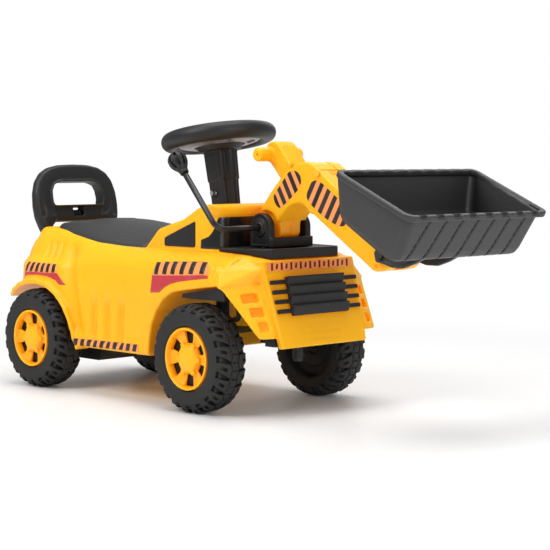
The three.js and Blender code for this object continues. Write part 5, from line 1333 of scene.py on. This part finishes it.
# ---------------------------------------------------------------- lever rod and knob
def tube(name, path, r, mat, body_name, rep=(), bend=14.0, seg=28, tip=0.6):
    """round bar along straight runs joined by bends, with a small chamfer at each end"""
    P = [np.array(p, float) for p in path]
    pts = [P[0]]
    for i in range(1, len(P) - 1):
        u = (P[i - 1] - P[i]) / np.linalg.norm(P[i - 1] - P[i])
        v = (P[i + 1] - P[i]) / np.linalg.norm(P[i + 1] - P[i])
        ang = math.acos(max(-1, min(1, float(u @ v))))
        t = bend / math.tan(ang / 2)
        a, b = P[i] + u * t, P[i] + v * t
        bis = (u + v) / np.linalg.norm(u + v)
        c = P[i] + bis * (bend / math.sin(ang / 2))
        ra, rb = a - c, b - c
        full = math.pi - ang
        for k in range(13):
            s = k / 12
            pts.append(c + (ra * math.sin((1 - s) * full) + rb * math.sin(s * full)) / math.sin(full))
    pts.append(P[-1])
    V, Q = [], []
    t0 = (pts[1] - pts[0]) / np.linalg.norm(pts[1] - pts[0])
    ref = np.array([0, 1, 0]) if abs(t0[1]) < 0.9 else np.array([1, 0, 0])
    nrm = np.cross(t0, ref)
    nrm /= np.linalg.norm(nrm)
    rings = []
    for i, p in enumerate(pts):
        a = pts[max(0, i - 1)]
        b = pts[min(len(pts) - 1, i + 1)]
        t = (b - a) / np.linalg.norm(b - a)
        nrm = nrm - t * (nrm @ t)
        nrm /= np.linalg.norm(nrm)
        bi = np.cross(t, nrm)
        rs = [(p, r)]
        if i == 0:
            rs = [(p, r - tip), (p + t * tip, r)]
        if i == len(pts) - 1:
            rs = [(p - t * tip, r), (p, r - tip)]
        for q, rad_ in rs:
            rings.append(len(V))
            for k in range(seg):
                an = 2 * math.pi * k / seg
                V.append(q + (nrm * math.cos(an) + bi * math.sin(an)) * rad_)
    faces = []
    for a, b in zip(rings, rings[1:]):
        for k in range(seg):
            l = (k + 1) % seg
            faces.append((a + k, a + l, b + l, b + k))
    faces.append(tuple(rings[0] + k for k in reversed(range(seg))))
    faces.append(tuple(rings[-1] + k for k in range(seg)))
    me = bpy.data.meshes.new(name)
    me.from_pydata([tuple(p) for p in place(np.array(V))], [], faces)
    bm = bmesh.new()
    bm.from_mesh(me)
    bmesh.ops.recalc_face_normals(bm, faces=bm.faces)
    bm.to_mesh(me)
    bm.free()
    me.update()
    for p in me.polygons:
        p.use_smooth = len(p.vertices) == 4
    return piece(name, me, mat, body_name, rep)


tube("lever_bar", [(212, 43, 241), (212, -112, 241), (136 + 7.2, -112, 327 - 8.4)], 3.9, M["rod"], "boom", ("lever_rod",))
KN = np.array([136.0, -112.0, 327.0])
KD = Vector((136 - 212, 0, 327 - 241)).normalized()
KR = Vector((0, 0, 1)).rotation_difference(KD).to_matrix()


def turn_knob(V):
    R = np.array(KR)
    return V @ R.T + KN


def make_knob():
    h = 0.55
    fl = Field((-15, -15, -21), (15, 15, 17), h)
    X, Y, Z = fl.X, fl.Y, fl.Z
    R = np.sqrt(X * X + Y * Y)
    th = np.arctan2(Y, X)
    ri = np.arange(0, 20, h / 2, dtype=f32)
    zi = np.arange(-23, 19, h / 2, dtype=f32)
    prof = [(-6, -19), (5.6, -19), (6.1, -18), (6.2, -14.5), (7.4, -11), (10.3, -6.4), (12.4, -1.5), (13.2, 3), (12.8, 7), (10.8, 11), (7.6, 13.8), (3.6, 15.0), (-6, 15.2)]
    P = soft(poly(ri[:, None], zi[None, :], prof), 2)

    def look(P, z0):
        u = np.clip(R / (h / 2), 0, len(ri) - 1.001)
        i0 = u.astype(int)
        fu = u - i0
        zv = np.clip((Z - z0) / (h / 2), 0, P.shape[1] - 1.001)
        j0 = zv.astype(int)
        fv = zv - j0
        return (P[i0, j0] * (1 - fu) + P[i0 + 1, j0] * fu) * (1 - fv) + (P[i0, j0 + 1] * (1 - fu) + P[i0 + 1, j0 + 1] * fu) * fv
    ball = look(P, -23)
    core = np.maximum(ball + 4.2, -99)
    n = 8
    a = th / (2 * math.pi / n)
    d = np.abs(a - np.round(a)) * (2 * math.pi / n) * np.maximum(R, 2)
    gap = np.maximum(np.maximum(d - 1.75 * np.clip(R / 12, 0.4, 1), -Z - 8.5), Z - 11.2)
    F = smax(ball, -np.maximum(gap, -(ball + 3.4)), 0.9)
    F = smax(F, -np.maximum(R - 4.15, Z + 10.6), 0.3)
    fl.F = F.astype(f32)
    return from_field("lever_knob_moulding", fl, M["black"], "boom", ("lever_knob",), 1, turn_knob)


make_knob()

# ---------------------------------------------------------------- bucket
BO = [(441, 318), (435.4, 311), (434.6, 266), (437.5, 257.5), (446, 251), (492, 221.4), (503, 215.6), (514, 212.6), (521, 214.4), (527, 221), (549, 259), (556, 266.6)]
RIM_A, RIM_B = np.array([441.0, 318.0]), np.array([555.6, 266.6])
RU = (RIM_B - RIM_A) / np.linalg.norm(RIM_B - RIM_A)
RN = np.array([-RU[1], RU[0]])


def make_bucket():
    h = 1.15
    fl = Field((430, -133, 203), (564, 133, 324), h)
    X, Y, Z = fl.X, fl.Y, fl.Z
    A = np.abs(Y)
    u = (X - RIM_A[0]) * RU[0] + (Z - RIM_A[1]) * RU[1]   # along the rim from rear to front
    v = (X - RIM_A[0]) * RN[0] + (Z - RIM_A[1]) * RN[1]   # above the rim plane
    LR = float(np.linalg.norm(RIM_B - RIM_A))
    o = soft(poly(X, Z, BO + [(600, 300), (600, 400), (441, 400)]), 2)
    w = 113.5 + (Z - 205) * (13.9 / 115)
    # plan corners: rounded where the front and rear walls meet the sides
    def shell(inset, r):
        a = o + inset
        b = A - (w - inset)
        q1, q2 = np.maximum(a + r, 0), np.maximum(b + r, 0)
        return np.sqrt(q1 * q1 + q2 * q2) + np.minimum(np.maximum(a + r, b + r), 0) - r
    out = shell(0.0, 11.0)
    inn = shell(3.1, 8.5)
    F = np.maximum(out, -inn)
    # seven slanted grooves pressed into the front wall
    for i in range(-3, 4):
        c = i * 29.2 - 1 + (Z - 240) * 0.24
        gr = np.maximum(np.maximum(np.abs(Y - c) - 1.9, -(out + 1.9)), np.maximum(np.maximum(512 - X, 203 - Z), v + 9.5))
        F = smax(F, -gr, 0.5)
    for i in range(-4, 5):
        c = i * 25.0
        rib = np.maximum(np.abs(Y - c) - 3.6, np.abs(out - 0.1) - 1.2)
        rib = np.maximum(np.maximum(rib, X - 452), np.maximum(254 - Z, v + 7.5))
        F = smin(F, rib, 1.4)
    F = np.maximum(F, v + 3.0)
    # rim: rolled flange standing proud of the walls
    def ring(off, r):
        cx, hx, hy = LR / 2, LR / 2 + off, 126.2 + off
        q1, q2 = np.abs(u - cx) - (hx - r), A - (hy - r)
        return np.sqrt(np.maximum(q1, 0) ** 2 + np.maximum(q2, 0) ** 2) + np.minimum(np.maximum(q1, q2), 0) - r
    r_out, r_in = ring(3.0, 12.0), ring(-3.8, 8.5)
    rim = smax(np.maximum(r_out, -r_in), np.abs(v + 3.6) - 3.6, 1.4)
    F = smin(F, rim, 1.0)
    # castellated lips: square teeth along the front edge and shallow notches along the rear
    for i in range(-3, 5):
        c = (i - 0.5) * 29.2
        g = np.maximum(np.maximum(np.abs(Y - c) - 6.8, np.abs(u - LR - 1.6) - 3.6), -3.4 - v + 0 * Y)
        F = smax(F, -g, 0.6)
    for i in range(-4, 5):
        c = i * 26.0
        g = np.maximum(np.maximum(np.abs(Y - c) - 4.6, np.abs(u - 0.4) - 2.4), -1.6 - v + 0 * Y)
        F = smax(F, -g, 0.5)
    fl.F = F.astype(f32)
    return from_field("bucket_moulding", fl, M["grey"], "bucket_tray", ("bucket",), 1)


make_bucket()


def make_bracket():
    h = 0.95
    TX, TZ = 425.0, 214.0
    fl = Field((406, -55, 194), (505, 55, 252), h)
    X, Y, Z = fl.X, fl.Y, fl.Z
    A = np.abs(Y)
    L = math.hypot(46, 29.6)

    def dgn(t, off):
        return (446 + (46 * t) / L - (29.6 * off) / L, 250.6 - (29.6 * t) / L - (46 * off) / L)
    plate = np.maximum(poly(X, Z, [dgn(2, 0.3), dgn(56, 0.3), dgn(56, 4), dgn(2, 4)]) + 0 * Y, A - 52)
    ear = [dgn(0, 3), dgn(40, 3), dgn(38, 14), (TX + 15, TZ - 9), (TX + 6, TZ - 15), (TX - 8, TZ - 17), (TX - 14, TZ - 12), (TX - 12, TZ + 4), (TX - 2, TZ + 12), (TX + 10, TZ + 22)]
    che = [dgn(0, 3), dgn(62, 1), dgn(62, 6), (480, 205), (462, 199), (444, 199), (TX + 4, TZ - 11), (TX - 8, TZ - 9), (TX - 11, TZ + 2), (TX - 6, TZ + 9), (TX + 6, TZ + 18)]
    e = np.maximum(soft(poly(X, Z, ear), 2) + 0 * Y, np.abs(A - 6.7) - 2.5)
    c = np.maximum(soft(poly(X, Z, che), 2) + 0 * Y, np.abs(A - 30.7) - 2.4)
    # raised border on the outer cheek
    c2 = np.maximum(np.maximum(soft(poly(X, Z, che), 2) + 0 * Y, -(poly(X, Z, che) + 3.6)), np.abs(A - 33.2) - 1.0)
    F = smin(smin(smin(plate, e, 2.5), c, 2.5), c2, 0.8)
    # cross ribs under the plate
    for y0 in (-43, -20, 20, 43):
        r = np.maximum(poly(X, Z, [dgn(6, 3), dgn(52, 3), dgn(48, 9), dgn(10, 9)]) + 0 * Y, np.abs(Y - y0) - 1.4)
        F = smin(F, r, 1.0)
    F = smax(F, -(np.sqrt((X - TX) ** 2 + (Z - TZ) ** 2) - 3.6 + 0 * Y), 0.4)
    fl.F = F.astype(f32)
    return from_field("bucket_bracket_moulding", fl, M["grey"], "bucket_tray", ("bucket_bracket",), 1)


make_bracket()


# ---------------------------------------------------------------- yoke, deck plate, screen, grille
def make_yoke():
    h = 0.8
    fl = Field((186, -46, 204), (239, 46, 264), h)
    X, Y, Z = fl.X, fl.Y, fl.Z
    A = np.abs(Y)
    PX, PZ = 212.0, 241.0
    cheek = [(192.6, 215.4), (232.2, 215.4)] + [(PX + 0.5 + 19.5 * math.cos(k * math.pi / 24), PZ + 19.5 * math.sin(k * math.pi / 24)) for k in range(25)]
    o = poly(X, Z, cheek)
    F = smax(o + 0 * Y, A - 38, 1.8)
    F = smax(F, -smax(A - 28.4, 218.6 - Z, 1.6), 1.0)
    # round boss on each cheek, recessed panel beside it
    rr = np.sqrt((X - PX) ** 2 + (Z - PZ) ** 2)
    F = smax(F, -np.maximum(np.maximum(o + 3.4 + 0 * Y, 36.6 - A), -(rr - 11.5)), 0.7)
    F = smin(F, np.maximum(rr - 11.2, np.abs(A - 36) - 2.9), 0.9)
    F = smin(F, np.maximum(rr - 7.4, np.abs(A - 37) - 3.4), 0.7)
    # front gusset that joins the cheeks
    F = smin(F, smax(smax(np.abs(X - 233.2) - 3.2, A - 37.8, 1.4), np.abs(Z - 222.0) - 6.8, 1.2), 1.2)
    F = smax(F, -(rr - 4.3 + 0 * Y), 0.3)
    for y in (-31, 31):
        F = smax(F, -np.maximum(np.sqrt((X - 212.5) ** 2 + (Y - y) ** 2) - 1.9, Z - 228), 0.2)
    fl.F = F.astype(f32)
    return from_field("boom_yoke_moulding", fl, M["black"], "body", ("boom_yoke",), 1)


make_yoke()


def make_plate():
    h = 0.9
    fl = Field((150, -89, 200), (263, 89, 220), h)
    X, Y, Z = fl.X, fl.Y, fl.Z
    A = np.abs(Y)
    xy = poly(X, Y, [(150, -84.6), (176.8, -80), (254, -66.8), (260.4, -60), (260.4, 60), (254, 66.8), (176.8, 80), (150, 84.6)])
    xy = np.maximum(xy, -(poly(X, Y, plan(26.8, 90.8, 182.8))))
    low = np.interp(X[:, 0, 0], [150, 170, 183.6, 232, 262], [212.2, 210.9, 210, 206.2, 202.2])[:, None, None] - 0.2
    F = smax(smax(xy + 0 * Z, Z - 215.3, 1.2), low - Z, 0.3)
    # shallow tray between a narrow border
    F = smax(F, -smax(smax(xy + 5.0 + 0 * Z, 190 - X, 1.0), 214.5 - Z, 0.6), 0.5)
    for y in (-31, 31):
        F = smax(F, -(np.sqrt((X - 212.5) ** 2 + (Y - y) ** 2) - 2.6 + 0 * Z), 0.2)
    fl.F = F.astype(f32)
    return from_field("deck_plate_moulding", fl, M["black"], "body", ("deck_plate",), 1)


make_plate()


def make_screen():
    """wrap-around screen: smooth bent sheet with rounded corners; the side windows are made after it"""
    bm = bmesh.new()
    n = 26
    line = [(151.0, -1)]
    r, w, x1 = 25.6, 88.4, 181.6
    P = [(151.0, -w)]
    for k in range(0, n + 1):
        a = k * math.pi / 2 / n
        P.append((x1 - r + r * math.sin(a), -w + r - r * math.cos(a)))
    for y in np.linspace(-w + r, w - r, 30)[1:-1]:
        P.append((x1, y))
    for k in range(0, n + 1):
        a = k * math.pi / 2 / n
        P.append((x1 - r + r * math.cos(a), w - r + r * math.sin(a)))
    P.append((151.0, w))
    zs = np.linspace(213.2, 255.3, 16)
    rows = []
    for z in zs:
        row = []
        sc = (84.6 + (89.4 - 84.6) * (275 - z) / 85) / 88.4
        sc = min(1.0, sc)
        for x, y in P:
            row.append(bm.verts.new(((x - OX) * 0.001, y * sc * 0.001, z * 0.001)))
        rows.append(row)
    for a, b in zip(rows, rows[1:]):
        for i in range(len(P) - 1):
            bm.faces.new((a[i], a[i + 1], b[i + 1], b[i]))
    bmesh.ops.recalc_face_normals(bm, faces=bm.faces)
    me = bpy.data.meshes.new("windscreen_panel")
    bm.to_mesh(me)
    bm.free()
    me.polygons.foreach_set("use_smooth", np.full(len(me.polygons), True))
    o = piece("windscreen_panel", me, M["gloss"], "body", ("windscreen",))
    s = o.modifiers.new("thick", "SOLIDIFY")
    s.thickness = 0.0017
    s.offset = -1
    b = o.modifiers.new("edge", "BEVEL")
    b.width = 0.0005
    b.segments = 2
    b.limit_method = "ANGLE"
    return o


make_screen()
for tag, s in (("right", -1), ("left", 1)):
    win = rounded([(76.5, 214.5), (76.5, 225.6), (139.5, 249.2), (139.5, 214.5)], 3.0, 4)
    prism(f"side_window_{tag}_panel", win, "y", 86.2 * s, 88.35 * s, M["gloss"], "body", (f"side_window_{tag}",), 0.5,
          fn=lambda c: (c[0], c[1] - (0.02 * max(0, c[2] - 214) if c[1] > 0 else -0.02 * max(0, c[2] - 214)), c[2]))


def make_grille():
    h = 0.75
    fl = Field((268, -81, 124), (302, 81, 184), h)
    X, Y, Z = fl.X, fl.Y, fl.Z
    A = np.abs(Y)
    # distance ahead of the sloping front, and place along it
    sx = X - (266 + (200.6 - Z) * (32 / 110.1))
    off = sx * 0.96
    F = None
    for z in (173.4, 161, 148.7, 136.5):
        w = 79 - (173.4 - z) * 0.08
        zz = Z - off * 0.28
        b = smax(smax(np.abs(zz - z) - 2.75, np.abs(off - 1.95) - 1.75, 1.0), A - w, 1.6)
        F = b if F is None else np.minimum(F, b)
    blk = smax(smax(np.abs((Z - off * 0.28) - 154.7) - 24.8, A - 51.0, 1.6), np.abs(off - 2.4) - 2.2, 1.0)
    F = smin(F, blk, 0.6)
    for i in range(4):
        zt = 179.3 - i * 12.3
        zz = Z - off * 0.28
        # slat: proud at its top edge and falling back toward its foot
        t = np.clip((zt - zz) / 10.2, 0, 1)
        top = 9.4 - 4.2 * t
        sl = smax(smax(np.abs(zz - (zt - 5.6)) - 5.3, off - top, 0.9), A - 51.6, 1.0)
        sl = np.maximum(sl, 1.0 - off)
        F = smin(F, sl, 0.7)
    F = np.maximum(F, 0.35 - off)
    fl.F = F.astype(f32)
    return from_field("grille_moulding", fl, M["black"], "body", ("grille",), 1)


make_grille()


# ---------------------------------------------------------------- CAD nodes that stay: finish only
def clad(names, mat, w=0.4, seg=2):
    for n in names:
        o = N[n]
        if not o.material_slots:
            o.data.materials.append(M[mat])
        for s in o.material_slots:
            s.link = "OBJECT"
            s.material = M[mat]
        b = o.modifiers.new("edge", "BEVEL")
        b.width = w * 0.001
        b.segments = seg
        b.limit_method = "ANGLE"
        b.angle_limit = math.radians(34)


clad(["front_axle_bracket", "rear_axle_housing", "knuckle_left", "knuckle_right", "tie_rod"], "black", 0.8)
clad(["steering_rod", "kingpin_left", "kingpin_right", "bucket_pivot_pin"], "rod", 0.2)
clad(["bucket_handle_pin", "tilt_link"], "yellow", 0.3)
clad(["rear_axle", "stub_axle_left", "stub_axle_right", "seat_hinge_pin", "backrest_screw_left", "backrest_screw_right", "yoke_screw_left", "yoke_screw_right",
      "column_screw", "column_nut", "lever_clip", "front_left_push_nut", "front_right_push_nut", "rear_left_push_nut", "rear_right_push_nut"], "steel", 0.25)
clad(["horn_spring"], "steel", 0.05, 1)

# front band: a plain generic strip with slanted marks at its two ends
def front_band():
    def on_face(y, z, lift):
        x = 266 + (200.6 - z) * (32 / 110.1)
        return ((x + lift * 0.96 - OX) * 0.001, y * 0.001, (z + lift * 0.28) * 0.001)

    def sheet(name, loops, mat, lift):
        bm = bmesh.new()
        for pts in loops:
            A = [bm.verts.new(on_face(y, z, lift)) for y, z in pts]
            B = [bm.verts.new(on_face(y, z, -0.15)) for y, z in pts]
            bm.faces.new(A)
            bm.faces.new(B[::-1])
            for i in range(len(pts)):
                j = (i + 1) % len(pts)
                bm.faces.new((A[i], B[i], B[j], A[j]))
        bmesh.ops.recalc_face_normals(bm, faces=bm.faces)
        me = bpy.data.meshes.new(name)
        bm.to_mesh(me)
        bm.free()
        piece(name, me, mat, "body")
    sheet("front_band_peach", [rounded([(-78, 187.4), (78, 187.4), (76.5, 199.2), (-76.5, 199.2)], 2, 3)], M["peach"], 0.55)
    bars = []
    for k in range(-8, 9):
        y = k * 8.6
        h_ = 4.6 if k % 2 == 0 else 3.2
        bars.append([(y - 1.7 - 1.2, 193.3 - h_), (y + 1.7 - 1.2, 193.3 - h_), (y + 1.7 + 1.2, 193.3 + h_), (y - 1.7 + 1.2, 193.3 + h_)])
    sheet("front_band_marks", bars, M["maroon"], 0.75)


front_band()

# ---------------------------------------------------------------- stage, light, camera
sc = bpy.context.scene
me = bpy.data.meshes.new("studio_floor")
V, Q = [], []
prof = [(-9.0, 0.0), (9.0, 0.0)]
V = [(-14, -14, 0), (14, -14, 0), (14, 14, 0), (-14, 14, 0)]
me.from_pydata(V, [], [(0, 1, 2, 3)])
me.update()
floor = bpy.data.objects.new("studio_floor", me)
sc.collection.objects.link(floor)
fm = bpy.data.materials.new("studio_floor")
fm.use_nodes = True
t = fm.node_tree
t.nodes.clear()
out = t.nodes.new("ShaderNodeOutputMaterial")
pb = t.nodes.new("ShaderNodeBsdfPrincipled")
pb.inputs["Base Color"].default_value = (0.93, 0.93, 0.93, 1)
nz = t.nodes.new("ShaderNodeTexNoise")
nz.inputs["Scale"].default_value = 3.0
rg = t.nodes.new("ShaderNodeMapRange")
rg.inputs["To Min"].default_value = 0.30
rg.inputs["To Max"].default_value = 0.36
t.links.new(nz.outputs[0], rg.inputs[0])
t.links.new(rg.outputs[0], pb.inputs["Roughness"])
pb.inputs["Specular IOR Level"].default_value = 0.25
far = t.nodes.new("ShaderNodeEmission")
far.inputs[0].default_value = (1, 1, 1, 1)
far.inputs[1].default_value = 1.0
gp = t.nodes.new("ShaderNodeNewGeometry")
ln = t.nodes.new("ShaderNodeVectorMath")
ln.operation = "LENGTH"
t.links.new(gp.outputs["Position"], ln.inputs[0])
fr = t.nodes.new("ShaderNodeMapRange")
fr.interpolation_type = "SMOOTHERSTEP"
fr.inputs["From Min"].default_value = 0.62
fr.inputs["From Max"].default_value = 1.25
t.links.new(ln.outputs["Value"], fr.inputs[0])
lpf = t.nodes.new("ShaderNodeLightPath")
both = t.nodes.new("ShaderNodeMath")
both.operation = "MULTIPLY"
t.links.new(fr.outputs[0], both.inputs[0])
t.links.new(lpf.outputs["Is Camera Ray"], both.inputs[1])
fmx = t.nodes.new("ShaderNodeMixShader")
t.links.new(both.outputs[0], fmx.inputs[0])
t.links.new(pb.outputs[0], fmx.inputs[1])
t.links.new(far.outputs[0], fmx.inputs[2])
t.links.new(fmx.outputs[0], out.inputs[0])
me.materials.append(fm)

w = bpy.data.worlds.new("studio")
sc.world = w
w.use_nodes = True
wt = w.node_tree
wt.nodes.clear()
wo = wt.nodes.new("ShaderNodeOutputWorld")
bg1 = wt.nodes.new("ShaderNodeBackground")
bg1.inputs[0].default_value = (1, 1, 1, 1)
bg1.inputs[1].default_value = 0.38
bg2 = wt.nodes.new("ShaderNodeBackground")
bg2.inputs[0].default_value = (1, 1, 1, 1)
bg2.inputs[1].default_value = 1.0
lp = wt.nodes.new("ShaderNodeLightPath")
mxs = wt.nodes.new("ShaderNodeMixShader")
wt.links.new(lp.outputs["Is Camera Ray"], mxs.inputs[0])
wt.links.new(bg1.outputs[0], mxs.inputs[1])
wt.links.new(bg2.outputs[0], mxs.inputs[2])
wt.links.new(mxs.outputs[0], wo.inputs[0])


def area(name, loc, target, size, power, size_y=None):
    d = bpy.data.lights.new(name, "AREA")
    d.energy = power
    d.size = size
    if size_y:
        d.shape = "RECTANGLE"
        d.size_y = size_y
    o = bpy.data.objects.new(name, d)
    sc.collection.objects.link(o)
    o.location = loc
    o.rotation_euler = (Vector(target) - Vector(loc)).to_track_quat("-Z", "Y").to_euler()
    return o


area("key", (-0.35, -1.75, 1.75), (0.0, 0, 0.15), 1.1, 30)
area("top", (-0.1, 0.1, 2.4), (0.0, 0, 0.1), 1.6, 38)
area("fill", (2.5, -0.5, 0.9), (0.0, 0, 0.2), 1.3, 22)
area("rim", (-0.9, 1.9, 1.5), (0, 0, 0.2), 1.2, 9)

cam_d = bpy.data.cameras.new("camera")
cam_d.lens = 105.1
cam_d.sensor_width = 36
cam_d.clip_end = 50
cam = bpy.data.objects.new("camera", cam_d)
sc.collection.objects.link(cam)
cl = Vector(((1761.3 - OX) * 0.001, -1.4783, 0.3313))
ct = Vector(((201.6 - OX) * 0.001, 0, 0.1762))
cam.location = cl
cam.rotation_euler = ((ct - cl).to_track_quat("-Z", "Y").to_matrix() @ Matrix.Rotation(math.radians(-0.146), 3, "Z")).to_euler()
sc.camera = cam
sc.view_settings.view_transform = "Standard"
sc.view_settings.look = "None"
sc.view_settings.exposure = 0
sc.view_settings.gamma = 1
